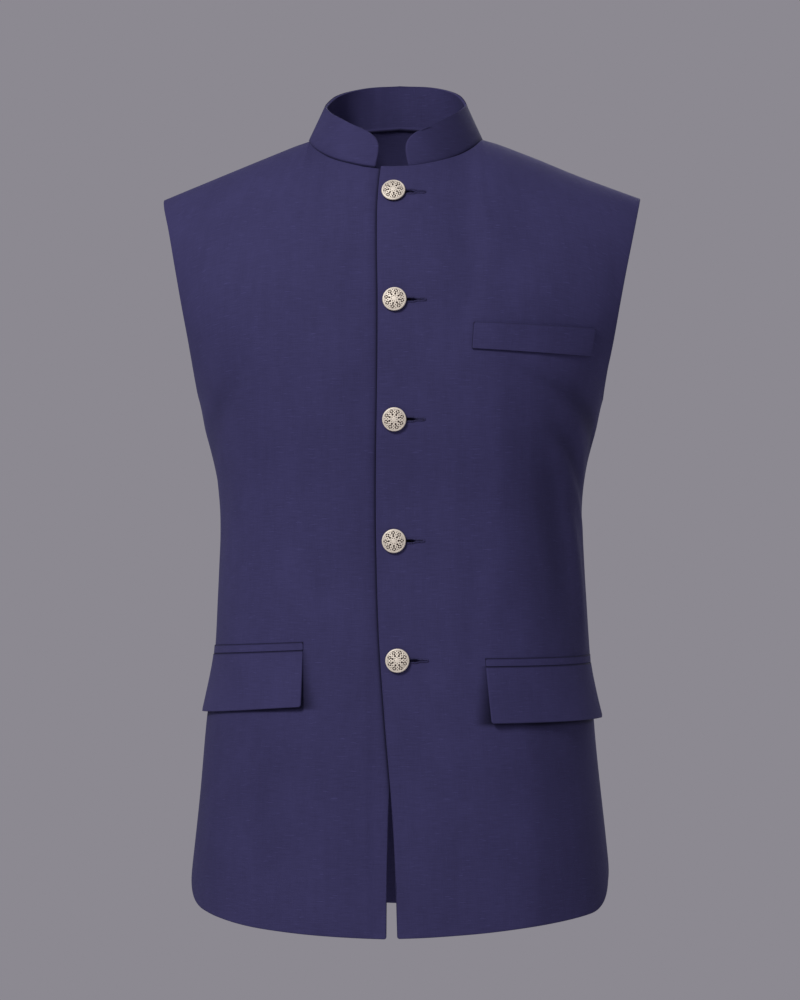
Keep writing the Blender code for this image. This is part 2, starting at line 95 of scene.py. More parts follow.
# Hem and side vents
CORNER_RADIUS = 0.071
HEM_RISE = 0.021
HEM_RISE_POWER = 1.35
HEM_RISE_FADE = 0.25
VENT_HEIGHT = 0.105
VENT_PARTING = 0.0012
FRONT_CORNER = 0.0022
STRAIGHT_ROWS_FROM = 0.150

# Collar
RIM = (0.0642, 0.0745, 0.0625)  # half-width, front and back depth of the upper edge
COLLAR_TUCK = 0.030
COLLAR_TUCK_IN = 0.014

# Size of a grid cell on each kind of piece
PANEL_CELL = 0.0027
EDGE_CELL = 0.0014
BACK_COARSER = 1.25
COLLAR_CELL = 0.0019
POCKET_CELL = 0.0016

# Buttons
BUTTON_RADIUS = 0.0108
BUTTON_HEIGHT = 0.0038
BUTTON_LIFT = 0.0011
SHANK_RADIUS = 0.0013
FACE_SHARE = 0.93
STITCH_PITCH = 0.00058
STITCH_RADIUS = 0.00030
STITCH_REACH = 0.0015

SLIT = table(
    "across half_width",
    (2, 1.5), (16.5, 1.5), (18.4, 1), (19.6, 0.48), (26.5, 0.42),
)

WIDTHS = table(
    "height half_width",
    (-735, 196.5), (-685, 194), (-650, 190.5), (-595, 184.5), (-540, 179.5), (-455, 172), (-400, 168.8),
    (-365, 167), (-338, 167.5), (-300, 172.5), (-271, 180), (-241, 187.5), (-221, 195.1), (-204, 202.1),
    (-185, 209.6), (-148, 225.4), (-102, 238.6), (-56, 250), (30, 260),
)

DEPTHS = table(
    "height front back",
    (-735, 132, 133), (-620, 132, 130), (-540, 131, 122), (-455, 127, 108), (-378, 124, 100), (-330, 126, 104),
    (-260, 134, 117), (-200, 134.5, 123), (-150, 128, 122), (-100, 118, 116), (-50, 108, 106), (0, 100, 96),
    (30, 98, 90),
)

RIDGES = table(
    "across front back",
    (0, 26, 73.5), (20, 23.5, 68), (40, 15.7, 52.5), (56, 8, 35), (68, 3.5, 19), (79, 0, 6), (92, -5, -2.2),
    (110, -12.2, -11), (150, -27.9, -27.7), (221, -55.7, -55.7), (260, -71, -71),
)

COLLAR_HEIGHTS = table(
    "angle neckline rim",
    (0, -31, 0.5), (15, -29.7, 1), (27, -26.5, 4.8), (36, -23.4, 9), (45, -19.5, 13.8), (67, -8.2, 23.4),
    (80, -1.8, 28.5), (90, 0, 31.5), (104, 1.2, 37.2), (117, 4, 44), (137, 10.5, 51.5), (153, 15, 55.5),
    (180, 18.5, 57.8),
)

# How far each side of the worn jacket stands out from the even form
STANCES = table(
    "height right_side left_side",
    (-600, -0.4, 0), (-548, -0.4, -0.4), (-473, 1.2, 1.8), (-436, 0.8, 2), (-399, 0.4, 1.8), (-380, 0, 1.9),
    (-343, -0.4, 0.7), (-306, -1.4, 0.5), (-269, -0.2, 0.6), (-232, 1.3, 0.2), (-213, 2.2, 1.2), (-194, 2.7, 3),
    (-157, 2.6, 4.6), (-120, 2.2, 5), (-83, 1.4, 4.2), (-64, -0.2, 2.8), (-40, 0, 0),
)

# How far each hem is cut above the even hem
HEM_TRIMS = table(
    "share right_front left_front back",
    (-1, 0, 0, 4), (-0.86, 0, 0, 4), (-0.73, 0, 0, 3), (-0.52, 0, 0, 0), (0, -2.2, -1.2, 0),
    (0.2, -2.4, -0.9, 0), (0.36, -2.7, -0.5, 0), (0.53, -1.9, 0.5, 0), (0.65, 0.6, 1.2, 0), (0.76, 3.5, 1.8, 0),
    (0.87, 5.2, 2.4, 0), (1, 6.4, 3.6, 0),
)
SHOULDER_LIFT = 0.0012
LEFT_SHOULDER_LIFT = 0.0006
# Where the shoulders' lift begins and the left one turns down, from the centre, and the heights over which it grows
LIFT_BEGINS = (0.072, 0.098)
LIFT_TURNS = (0.12, 0.17)
LIFT_RISES = (-0.15, -0.05)

COLLAR_ENDS = table(
    "share from_centre",
    (0, 15), (0.27, 13.1), (0.5, 12.3), (0.66, 12.9), (0.8, 15.2), (0.9, 18.6), (0.96, 22.4), (1, 28.2),
)

OVERLAPS = table(
    "height over under",
    (-735, -3.8, -6.5), (-640, -0.6, -5.2), (-600, 2, -3.6), (-530, 7.9, 6), (-455, 13.2, 15), (-370, 15.8, 15),
    (-200, 13.8, 15), (-100, 13, 15), (-60, 11.5, 15), (-31, 9.2, 14.5),
)

# Troughs and ridges in each piece, the main ones first and the smaller creases after them
FOLD_FIELDS = "from_centre height length width lean depth"
FOLDS = {
    "front_left": table(
        FOLD_FIELDS,
        (62, -110, 100, 18, 4, -1.4), (172, -292, 55, 12, -42, -3.1), (186, -318, 60, 12, -40, 2.6),
        (184, -372, 75, 14, -14, 2.1), (212, -262, 50, 14, -60, -2.6), (94, -340, 120, 15, 2, 1.9),
        (105, -580, 150, 28, -4, -1.6), (72, -150, 50, 10, 18, -0.7), (100, -75, 45, 16, -12, 0.8),
        (96, -450, 230, 48, 0, 3.4), (140, -335, 105, 30, -8, -2.2), (150, -232, 40, 9, -66, -1.2),
        (128, -252, 48, 10, -58, 0.7), (206, -300, 40, 8, -38, 0.9), (196, -425, 55, 12, -6, 1),
        (70, -400, 90, 14, -3, -0.5), (150, -430, 70, 18, 8, -0.7), (45, -560, 80, 16, 6, 0.6),
        (180, -640, 60, 18, -10, 0.8),
    ),
    "front_right": table(
        FOLD_FIELDS,
        (78, -62, 40, 13, 0, 1.2), (212, -295, 85, 15, -40, -1.6), (170, -350, 100, 18, -30, 1.2),
        (120, -590, 150, 30, 3, -1.5), (120, -120, 60, 18, 10, -0.6), (150, -200, 50, 14, -24, -0.6),
        (200, -262, 45, 10, -56, -1), (196, -380, 60, 11, -20, -0.9), (85, -420, 90, 16, 2, 0.5),
        (60, -560, 70, 18, -6, -0.6), (190, -620, 70, 18, 8, 0.8),
    ),
    "back": table(
        FOLD_FIELDS,
        (4, -330, 130, 24, 0, -2.2), (85, -200, 100, 22, 14, -1.5), (-92, -215, 95, 24, -12, -1.6),
        (150, -345, 90, 16, -50, -1.8), (-155, -335, 85, 16, 52, -1.5), (95, -560, 160, 30, 5, 2.6),
        (-80, -580, 150, 28, -4, 2.2), (120, -130, 60, 16, 30, -0.9), (-126, -140, 55, 15, -34, -1),
        (35, -300, 60, 12, 12, 0.8), (-30, -390, 70, 13, -6, 0.9), (190, -300, 50, 10, -44, -1.1),
        (-195, -310, 50, 10, 40, -1.2), (170, -400, 60, 12, -30, 0.8), (-160, -410, 60, 12, 34, 0.9),
        (10, -600, 90, 22, 2, -1.2), (170, -620, 80, 20, -6, -1), (-165, -600, 85, 20, 8, -1),
    ),
}

BUTTONS = table(
    "height aside turn",
    (-55.6, 1.8, 7), (-155, 1, -12), (-262, 1.1, 18), (-370.6, 0.2, 3), (-477.5, 3.6, -20),
)

HIP_POCKETS = table(
    "name side from_centre top_front top_outer slant stand_off sag",
    ("left", 1, 81.8, -475.5, -476, 4.2, 8.8, 0),
    ("right", -1, 82.6, -461.2, -468.5, 0, 4.2, 0.05),
)
FLAP_LENGTH = 0.1480
FLAP_DEPTH = 0.0508
FLAP_FRONT_STAND_OFF = 0.0052
FLAP_EMERGES = 0.0012
JET_DEPTH = 0.0075
JET_OVERHANG = 0.0003
JET_SUNK = 0.0004
FLAP_FALLS = 1.3
FLAP_FRONT_CORNER = 0.0015
FLAP_SIDE_CORNER = 0.0045

# The welt's lower and upper edge: across and height of the inner end, then of the outer end
CHEST_WELT = ((0.0698, -0.1992, 0.1745, -0.2045), (0.0712, -0.1753, 0.1780, -0.1792))
WELT_STAND_OFF = 0.0014

Face = namedtuple("Face", "sign column neck_angle")
FRONT = Face(-1, "front", 0)
BACK = Face(1, "back", 180)

# Painted shade: how strong it is, and the heights below the origin or the widths over which it grows
LEFT_TURNED_DARK, LEFT_TURNED_OVER = 0.26, (0.20, 0.32)
LEFT_LOW_DARK, LEFT_LOW_OVER = 0.04, (0.45, 0.60)
RIGHT_TURNED_DARK, RIGHT_TURNED_OVER = 0.30, (0.38, 0.55)
EDGE_DARKS = ((0.75, 0.0019), (0.36, 0.0062))
SLIT_DARK_HALF = 0.0026
FLAP_DARK, FLAP_LOW_DARK, FLAP_UNDER_DARK = 0.45, 0.42, 0.14
FLAP_DARK_WIDTH, FLAP_LOW_WIDTH, FLAP_END_WIDTH = 0.0040, 0.0080, 0.0030
HOLLOW_DARK, HOLLOW_DEPTH = 0.42, 0.0024
NECKLINE_PAINTED_SHADE = 0.86
NEXT_ROW_PAINTED_SHADE = 0.74

# Steps at which the form's slope is read
NEAR = 0.003
NEAR_LEVEL = 0.0008
RISES_READ = (NEAR + 0.000001, 0.9995 - NEAR)

# Panels: the columns of a front's edge and hem, the chest's rise and length, and what counts as a wall's rim
FrontEdge = namedtuple("FrontEdge", "field trim")
CHEST_RISE = COLLAR_HEIGHTS[0].neckline - ARMPIT
CHEST_LENGTH = 0.29
VENT_CLOSES = 0.01
RIM_ANGLE = 0.9
NARROWEST_CUT = 0.0102

# Low swells of worn cloth
UNEVEN_SEED = 11
UNEVEN_WAVES = 26
UNEVEN_HEIGHT = 0.00055
UNEVEN_SHORTEST = 0.030
UNEVEN_LONGEST = 0.150

# Camera and stage
CAMERA_AT = (0.1675, -3.1956, -0.334)
CAMERA_YAW = 3.0
CAMERA_LENS = 123.87
CAMERA_SHIFT = -0.001
FLOOR_HEIGHT = -1.45
FLOOR_RADIUS = 2.6


def smooth(rows, field, at):
    """Reads a table's column at any place along its first column, on one smooth curve through its rows."""
    xs, ys = np.array([(row[0], getattr(row, field)) for row in rows]).T
    at = np.clip(np.asarray(at, float), xs[0], xs[-1])
    k = np.clip(np.searchsorted(xs, at) - 1, 0, len(xs) - 2)
    slopes = np.gradient(ys, xs)
    span = xs[k + 1] - xs[k]
    t = (at - xs[k]) / span
    rising = ys[k] * (1 + 2 * t) * (1 - t) ** 2 + ys[k + 1] * t * t * (3 - 2 * t)
    return rising + span * t * (1 - t) * (slopes[k] * (1 - t) - slopes[k + 1] * t)


def ease(at, start, end):
    t = np.clip((np.asarray(at, float) - start) / (end - start), 0, 1)
    return t * t * (3 - 2 * t)


def unit(vectors):
    return vectors / np.linalg.norm(vectors, axis=-1, keepdims=True)


def between(grid, row, column):
    """A grid's value at any place, from the four points round it."""
    row, column = np.clip(row, 0, grid.shape[0] - 1), np.clip(column, 0, grid.shape[1] - 1)
    i, j = np.minimum(row.astype(int), grid.shape[0] - 2), np.minimum(column.astype(int), grid.shape[1] - 2)
    down, along = (part.reshape(part.shape + (1,) * (grid.ndim - 2)) for part in (row - i, column - j))
    near = grid[i, j] * (1 - along) + grid[i, j + 1] * along
    far = grid[i + 1, j] * (1 - along) + grid[i + 1, j + 1] * along
    return near * (1 - down) + far * down


def arc_table():
    """For each ratio of depth to width: the turn at even steps round a quarter of the form, and its length."""
    turn = np.linspace(0, math.pi / 2, 2001)
    step_across, step_out = np.diff(np.sin(turn) ** (2 / SQUARENESS)), np.diff(np.cos(turn) ** (2 / SQUARENESS))
    ratios = np.linspace(0.30, 0.95, 66)
    turns, lengths = [], []
    for ratio in ratios:
        run = np.concatenate([[0], np.cumsum(np.hypot(step_across, ratio * step_out))])
        turns.append(np.interp(np.linspace(0, run[-1], 801), run, turn))
        lengths.append(run[-1])
    return ratios, np.array(turns), np.array(lengths)


RATIOS, TURNS, LENGTHS = arc_table()


def section(face, height, share):
    """The body form at a height: share 0 is its centre line and 1 its side seam, by length of cloth."""
    half_width = smooth(WIDTHS, "half_width", height)
    depth = smooth(DEPTHS, face.column, height)
    row = (depth / half_width - RATIOS[0]) / (RATIOS[1] - RATIOS[0])
    turn = between(TURNS, row, np.clip(np.abs(share), 0, 1) * (TURNS.shape[1] - 1))
    x = half_width * np.sin(turn) ** (2 / SQUARENESS) * np.sign(share)
    y = face.sign * depth * np.clip(np.cos(turn), 0, 1) ** (2 / SQUARENESS)
    return x, y, half_width * np.interp(row, np.arange(len(LENGTHS)), LENGTHS)


def quarter_length(face, height):
    """Length of cloth from the centre line to the side seam."""
    height = np.minimum(np.asarray(height, float), ARMPIT)
    return section(face, height, np.ones_like(height))[2]


def neck_ring(angle, half_width, front, back):
    """A level ring round the neck, from its front middle at angle 0 to its back middle at 180."""
    turn = np.radians(angle)
    return half_width * np.sin(turn), -np.where(angle < 90, front, back) * np.cos(turn)


def top_edge(face, share):
    """The panel's top: the neckline from the centre to the collar's side, then the shoulder seam."""
    along_neck = np.minimum(np.abs(share) / NECK_SHARE, 1)
    angle = np.abs(face.neck_angle - 90 * along_neck)
    x, y = neck_ring(angle, *NECK)
    z = smooth(COLLAR_HEIGHTS, "neckline", angle)
    out = np.clip((np.abs(share) - NECK_SHARE) / (1 - NECK_SHARE), 0, 1)
    x = x + (SHOULDER_TIP[0] - NECK[0]) * out
    z = z + SHOULDER_TIP[1] * out
    y = np.where(along_neck < 1, y, face.sign * SEAM_GAP / 2)
    return x * np.sign(share + 1e-12), y, z


def full_depth(face, x, z):
    """How far out the form would be at a place seen from the front, if it had no shoulders."""
    half_width = smooth(WIDTHS, "half_width", z)
    within = np.clip(np.abs(x) / half_width, 0, 1)
    return smooth(DEPTHS, face.column, z) * (1 - within**SQUARENESS) ** (1 / SQUARENESS)


def chest(face, share, up):
    """The form above the armpit, rounded off to the shoulders' ridge: up is 0 at the armpit, 1 at the top edge."""
    low_x, low_y, _ = section(face, np.full_like(share, ARMPIT), share)
    top_x, top_y, top_z = top_edge(face, share)
    scoop = ARMHOLE_SCOOP * np.sin(math.pi * up) * np.abs(share) ** 6
    x = low_x + (top_x - low_x) * up - scoop * np.sign(share)
    z = ARMPIT + (top_z - ARMPIT) * up
    part = np.clip(np.abs(top_y) / full_depth(face, top_x, top_z), 0, 1)
    needed = top_z + RIDGE_REACH * (1 - np.sqrt(1 - part**2))
    missing = needed - smooth(RIDGES, face.column, np.abs(top_x))
    near_edge = 1 - ease(top_z - z, 0, RIDGE_FADE)
    drop = smooth(RIDGES, face.column, np.abs(x)) + missing * near_edge - z
    rounded = np.sqrt(1 - (1 - np.clip(drop / RIDGE_REACH, 0, 1)) ** 2)
    y = face.sign * full_depth(face, x, z) * rounded
    y = np.where(up < 1, y, top_y)
    return np.stack([x, np.where(up > 0, y, low_y), z], axis=-1)


def body_form(face, share, height, up):
    """Points on the form. Below the armpit they are placed by height, above it by up."""
    share, height, up = (np.asarray(v, float).ravel() for v in (share, height, up))
    x, y, _ = section(face, np.minimum(height, ARMPIT), share)
    points = np.stack([x, y, height], axis=-1)
    above = up > 0
    if above.any():
        points[above] = chest(face, share[above], up[above])
    return points


def leaned(points):
    """The form as it stands on a figure at ease: its neck a little to the right, its sides not quite alike."""
    x, z = points[..., 0], points[..., 2]
    centre = 1 - np.clip(np.abs(x) / SHOULDER_TIP[0], 0, 1) ** 2
    side = np.clip(np.abs(x) / smooth(WIDTHS, "half_width", z), 0, 1) ** 3
    stance = np.where(x > 0, smooth(STANCES, "left_side", z), smooth(STANCES, "right_side", z))
    lift = SHOULDER_LIFT + (x > 0) * LEFT_SHOULDER_LIFT * (1 - 2.2 * ease(x, *LIFT_TURNS))
    moved = points.copy()
    moved[..., 0] = x - NECK_LEAN * ease(z, *NECK_LEANS_OVER) * centre + stance * side
    moved[..., 2] = z + lift * ease(np.abs(x), *LIFT_BEGINS) * ease(z, *LIFT_RISES)
    return moved


def level_of(height, up):
    """The height of places on a panel, near its centre line where they are above the armpit."""
    return np.where(up > 0, ARMPIT + up * CHEST_RISE, height)


def fold_height(piece, from_centre, height):
    """How far the cloth's soft troughs and ridges move it out at a place on a piece."""
    moved = np.zeros_like(from_centre)
    for fold in FOLDS[piece]:
        lean = math.radians(fold.lean)
        right, up = from_centre - fold.from_centre, height - fold.height
        along = up * math.cos(lean) + right * math.sin(lean)
        beside = right * math.cos(lean) - up * math.sin(lean)
        moved += fold.depth * bell(np.hypot(along / fold.length, beside / fold.width), 1)
    return moved


def unevenness(face, x, z):
    """Low swells that keep worn cloth from being perfectly even: the same for every piece that lies there."""
    rng = np.random.default_rng(UNEVEN_SEED + face.sign)
    swell = np.zeros_like(x)
    for _ in range(UNEVEN_WAVES):
        length = rng.uniform(UNEVEN_SHORTEST, UNEVEN_LONGEST)
        turn = rng.normal(0, 0.6)
        start = rng.uniform(0, math.tau)
        run = x * math.cos(turn) + z * math.sin(turn) * 0.7
        swell += (length / UNEVEN_LONGEST) * np.sin(math.tau * run / length + start)
    return swell * UNEVEN_HEIGHT / math.sqrt(UNEVEN_WAVES / 2)


def sunk(piece, x):
    """The under front lies behind the over front near the centre line, and returns to the form beside it."""
    if piece != "front_right":
        return np.zeros_like(x)
    return -(WALL + FRONT_CLEARANCE) * ease(x, -0.056, -0.020) - EDGE_DIP * ease(x, -0.026, -0.016)


def flattened(normals):
    """Normals on a side or shoulder seam, shared by the two pieces that meet there."""
    flat = normals.copy()
    flat[..., 1] = 0
    return unit(flat)


def outward_of(face, side, share, height, up):
    """The way out of the form at each place, from the form a little to each side, below and above."""
    ways = []
    for sign in (1, -1):
        beside = np.clip(share + sign * NEAR, -1, 1)
        over = np.where(up > 0, ARMPIT, np.minimum(height + sign * NEAR_LEVEL, ARMPIT))
        rise = np.where(up > 0, np.clip(up, *RISES_READ) + sign * NEAR, 0)
        ways.append((leaned(body_form(face, beside, height, up)), leaned(body_form(face, share, over, rise))))
    along, upward = (ways[0][i] - ways[1][i] for i in (0, 1))
    return unit(np.cross(along, upward)).reshape(share.shape + (3,)) * -face.sign * (side, 1, 1)


def cloth(piece, face, side, share, height, up, seams=True):
    """A grid of points on a piece, with its folds, and the way out at each point."""
    points = body_form(face, share, height, up).reshape(share.shape + (3,))
    points[..., 0] *= side
    points = leaned(points)
    outward = outward_of(face, side, share, height, up)
    if seams:
        outward[:, -1] = flattened(outward[:, -1])
        shoulder = ease(np.abs(share[-1]), NECK_SHARE - 0.06, NECK_SHARE)[:, None]
        outward[-1] = unit(outward[-1] * (1 - shoulder) + flattened(outward[-1]) * shoulder)
    if seams and face is BACK:
        outward[:, 0] = flattened(outward[:, 0])
    length = quarter_length(face, height)
    held = 1 - ease(np.abs(share), 0.93, 1)
    held_top = held * (1 - ease(up, 0.86, 1))
    x, z = points[..., 0], points[..., 2]
    move = fold_height(piece, share * length, z) * held + sunk(piece, x)
    move += unevenness(face, x, z) * held_top
    return points + outward * move[..., None], outward


class Piece:
    """A cloth wall's two grids of points, where each lies on the cut cloth, and its painted shade: soft shade over it
    and dark lines beside its seams and edges.

    The values of the painted edge shade are for the left, right, lower and upper edge.
    """

    def __init__(self, outer, inner, centre_column=0, shade=0.0, pressed=(0, 0, 0, 0)):
        self.outer = outer
        self.inner = inner
        self.shade = np.zeros(outer.shape[:2]) + shade
        self.pressed = np.zeros(outer.shape[:2])
        left, right, bottom, top = pressed
        self.pressed[:, 0], self.pressed[:, -1] = left, right
        self.pressed[0] = np.maximum(self.pressed[0], bottom)
        self.pressed[-1] = np.maximum(self.pressed[-1], top)
        across = np.diff(outer, axis=1, prepend=outer[:, :1])
        rise = np.diff(outer, axis=0, prepend=outer[:1])
        u = np.cumsum(np.hypot(across[..., 0], across[..., 1]), axis=1)
        rising = np.where(rise[..., 2] < 0, -1, 1)
        self.u = u - u[:, centre_column : centre_column + 1]
        self.v = np.cumsum(rising * np.hypot(rise[..., 1], rise[..., 2]), axis=0) + outer[0, :, 2]

    def cut(self):
        """The flat cloth that shows, with a narrow strip's turned edge: its width, length and area."""
        across = np.diff(self.outer, axis=1)[:-1]
        up = np.diff(self.outer, axis=0)[:, :-1]
        area = np.linalg.norm(np.cross(across, up), axis=-1).sum()
        width, length = np.ptp(self.u, axis=1).max(), np.ptp(self.v, axis=0).max()
        return (float(width), float(max(length, area / width, NARROWEST_CUT))), float(area)


def face_out(bm):
    bmesh.ops.recalc_face_normals(bm, faces=bm.faces)
    if bm.calc_volume(signed=True) < 0:
        bmesh.ops.reverse_faces(bm, faces=bm.faces)


def thickened(bm):
    """Extrudes a sheet's faces and gives the vertices of the new side."""
    grown = bmesh.ops.extrude_face_region(bm, geom=bm.faces[:])
    return [item for item in grown["geom"] if isinstance(item, bmesh.types.BMVert)]


def build_wall(name, piece, rounding, cuts=()):
    """A closed wall between a piece's two grids, with its edges rounded and its slits cut."""
    rows, columns = piece.outer.shape[:2]
    outside, inside = piece.outer.reshape(-1, 3), piece.inner.reshape(-1, 3)
    run = np.stack([piece.u.ravel(), piece.v.ravel()], axis=-1)
    bm = bmesh.new()
    place = bm.verts.layers.int.new("place")
    # Painted shade kept on the vertices: soft shade, and dark lines along seams and edges
    shade = bm.verts.layers.float.new("shade")
    pressed = bm.verts.layers.float.new("pressed")
    bmesh.ops.create_grid(bm, x_segments=columns - 1, y_segments=rows - 1, size=1)
    shades, painted_edge_shades = piece.shade.ravel(), piece.pressed.ravel()
    for index, vert in enumerate(bm.verts):
        vert[place], vert[shade], vert[pressed] = index, shades[index], painted_edge_shades[index]
    far = set(thickened(bm))
    uv = bm.loops.layers.uv.new("cloth")
    for vert in bm.verts:
        vert.co = (inside if vert in far else outside)[vert[place]]
        for loop in vert.link_loops:
            loop[uv].uv = run[vert[place]]
    face_out(bm)
    rim = [edge for edge in bm.edges if edge.calc_face_angle(0) > RIM_ANGLE]
    bmesh.ops.bevel(
        bm, geom=rim, offset=rounding, offset_type="OFFSET", segments=3, profile=0.5, affect="EDGES",
        clamp_overlap=False, material=-1,
    )
    made = finished(name + "_cloth", bm)
    for cut in cuts:
        slit = made.modifiers.new("slit", "BOOLEAN")
        slit.operation = "DIFFERENCE"
        slit.object = cut
        slit.solver = "EXACT"
    if cuts:
        graph = bpy.context.evaluated_depsgraph_get()
        graph.update()
        made.data = smoothed(bpy.data.meshes.new_from_object(made.evaluated_get(graph)))
        made.modifiers.clear()
        for cut in cuts:
            bpy.data.objects.remove(cut)
    return made


def smoothed(mesh):
    mesh.shade_smooth()
    mesh.set_sharp_from_angle(angle=math.radians(55))
    return mesh


def finished(name, bm, look=None):
    """A smooth-shaded object from a bmesh, in the jacket's cloth unless it is given another look."""
    mesh = bpy.data.meshes.new(name)
    bm.to_mesh(mesh)
    bm.free()
    smoothed(mesh).materials.append(look or bpy.data.materials["suiting"])
    obj = bpy.data.objects.new(name, mesh)
    bpy.context.scene.collection.objects.link(obj)
    return obj


def put_on(obj, slot, *nodes):
    """Ties a piece to the part: what it moves with and what it stands for. Its material slot is not used."""
    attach(obj, "root")
    if nodes:
        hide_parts(*nodes)


def put_on_cloth(obj, piece, held, rests_on, *nodes):
    put_on(obj, "suiting_cloth", *nodes)
    flat, area = piece.cut()


def cells(length, cell):
    return max(2, round(length / cell))


def spread(start, end, cell, dense):
    """Places from start to end, closer together over the first part."""
    first = np.linspace(start, start + dense, cells(dense, EDGE_CELL) + 1)[:-1] if dense else []
    return np.concatenate([first, np.linspace(start + dense, end, cells(end - start - dense, cell) + 1)])


def hem_line(left, right, left_radius, right_radius, cell, dense):
    """The panel's lower edge along its length: how far from the centre line and how high above the hem."""
    arc = np.linspace(0, math.pi / 2, 60)
    rise, inset = 1 - np.sin(arc), 1 - np.cos(arc)
    down = np.stack([left + left_radius * inset, left_radius * rise], axis=-1)
    up = np.stack([right - right_radius * inset[::-1], right_radius * rise[::-1]], axis=-1)
    line = np.concatenate([down, up])
    run = np.concatenate([[0], np.cumsum(np.hypot(*np.diff(line, axis=0).T))])
    places = spread(0, run[-1], cell, dense)
    if dense:
        turn = left_radius * math.pi / 2
        places = np.concatenate([np.linspace(0, turn, 5), places[places > turn + 0.0006]])
    return places, np.interp(places, run, line[:, 0]), np.interp(places, run, line[:, 1])


def panel_grid(face, edge, cell, dense=0.0):
    """Where each point of a panel lies: its share of the way to the side, its height and its rise to the top edge."""
    length = float(quarter_length(face, HEM))
    left = -float(smooth(OVERLAPS, edge.field, HEM)) if edge else -length + VENT_PARTING
    places, run, low = hem_line(
        left, length - VENT_PARTING - SEAM_GAP / 2, FRONT_CORNER if edge else CORNER_RADIUS, CORNER_RADIUS, cell,
        dense,
    )
    even = places / places[-1]
    low_part = (run - run[0]) / (run[-1] - run[0])
    share, height, up = [], [], []

    def add_row(above, part):
        size = quarter_length(face, HEM + above)
        right = size - VENT_PARTING * (1 - ease(above, VENT_HEIGHT - VENT_CLOSES, VENT_HEIGHT)) - SEAM_GAP / 2
        left = -smooth(OVERLAPS, edge.field, HEM + above) if edge else -right
        shares = (left + (right - left) * part) / size
        rise = HEM_RISE * np.abs(shares) ** HEM_RISE_POWER
        rise = rise + smooth(HEM_TRIMS, edge.trim if edge else "back", shares)
        share.append(shares)
        height.append(HEM + above + rise * (1 - ease(above, 0, HEM_RISE_FADE)))
        up.append(np.zeros_like(above))

    for rise in np.linspace(0, 1, cells(STRAIGHT_ROWS_FROM, cell) + 1):
        add_row(low + (STRAIGHT_ROWS_FROM - low) * rise, low_part + (even - low_part) * rise)
    straight = cells(ARMPIT - HEM - STRAIGHT_ROWS_FROM, cell)
    for above in np.linspace(STRAIGHT_ROWS_FROM, ARMPIT - HEM, straight + 1)[1:]:
        add_row(np.full_like(even, above), even)

    def chest_shares(lifts):
        start = -1
        if edge:
            start = -smooth(OVERLAPS, edge.field, ARMPIT + lifts * CHEST_RISE) / quarter_length(face, ARMPIT)
        return start + (1 - start) * even

    lifts = np.sin(np.linspace(0, math.pi / 2, 181))[:, None] + np.zeros_like(even)
    shares = chest_shares(lifts) + np.zeros_like(lifts)
    points = body_form(face, shares, np.full_like(shares, ARMPIT), lifts).reshape(shares.shape + (3,))
    run = np.cumsum(np.linalg.norm(np.diff(points, axis=0, prepend=points[:1]), axis=-1), axis=0)
    for part in np.linspace(0, 1, cells(CHEST_LENGTH, cell) + 1)[1:]:
        lift = np.array([np.interp(part * run[-1, i], run[:, i], lifts[:, i]) for i in range(len(even))])
        share.append(chest_shares(lift))
        height.append(np.full_like(even, ARMPIT))
        up.append(lift)
    return np.array(share), np.array(height), np.array(up)


def bell(distance, width):
    return np.exp(-((distance / width) ** 2))


def painted_front_shade(name, side, share, height, up):
    """Painted shade where a front turns away from the key light, beside the over front's edge, behind the buttonhole
    slits and round the flaps' lifted edges.
    """
    level = level_of(height, up)
    from_centre = share * quarter_length(FRONT, height)
    if name == "front_left":
        # Painted shade where the front on the wearer's left turns away from the key light
        shade = LEFT_TURNED_DARK * ease(-level, *LEFT_TURNED_OVER) + LEFT_LOW_DARK * ease(-level, *LEFT_LOW_OVER)
        shade = shade * ease(from_centre - 0.012 * ease(-level, 0.38, 0.46), 0.098, 0.128)
    else:
        # Painted shade on the lower side of the front on the wearer's right
        shade = RIGHT_TURNED_DARK * ease(from_centre, 0.13, 0.19) * ease(-level, *RIGHT_TURNED_OVER)
        # Painted shadow on the under front beside the over front's edge
        away = np.maximum(from_centre - smooth(OVERLAPS, "over", level), 0)
        shade += sum(dark * bell(away, width) for dark, width in EDGE_DARKS)
        # Painted shade on the under front behind each buttonhole slit
        for place in BUTTONS:
            beside = ease(from_centre, -place.aside - 0.030, -place.aside - 0.026) * (from_centre < 0)
            shade += (np.abs(level - place.height) < SLIT_DARK_HALF) * beside
    # Painted shadow beside each flap's lifted front edge and under its lower edge
    for pocket in HIP_POCKETS:
        if pocket.side != side:
            continue
        part = np.clip((from_centre - pocket.from_centre) / FLAP_LENGTH, 0, 1)
        top = pocket.top_front + (pocket.top_outer - pocket.top_front) * part - JET_DEPTH
        fallen = np.clip((top - height) / FLAP_DEPTH, 0, 1)
        edge = pocket.from_centre + pocket.slant * fallen
        under = np.maximum(top - FLAP_DEPTH - height, 0)
        front = bell(np.maximum(edge - from_centre, 0), FLAP_DARK_WIDTH + FLAP_LOW_WIDTH * fallen)
        outside = bell(np.maximum(from_centre - edge - FLAP_LENGTH + FLAP_END_WIDTH, 0), FLAP_END_WIDTH)
        dark = (FLAP_DARK + FLAP_LOW_DARK * fallen) * front * bell(under, 0.0025)
        along = ease(from_centre, edge - 0.004, edge + 0.004) * (from_centre > edge)
        dark += FLAP_UNDER_DARK * bell(under, 0.0032) * along
        shade += dark * outside * (height < top)
    return np.clip(shade, 0, 1)


def painted_hollow_shade(name, face, share, height, up):
    """Painted shade in the folds' hollows."""
    hollow = -fold_height(name, share * quarter_length(face, height), level_of(height, up))
    return HOLLOW_DARK * np.clip(hollow / HOLLOW_DEPTH, 0, 1)


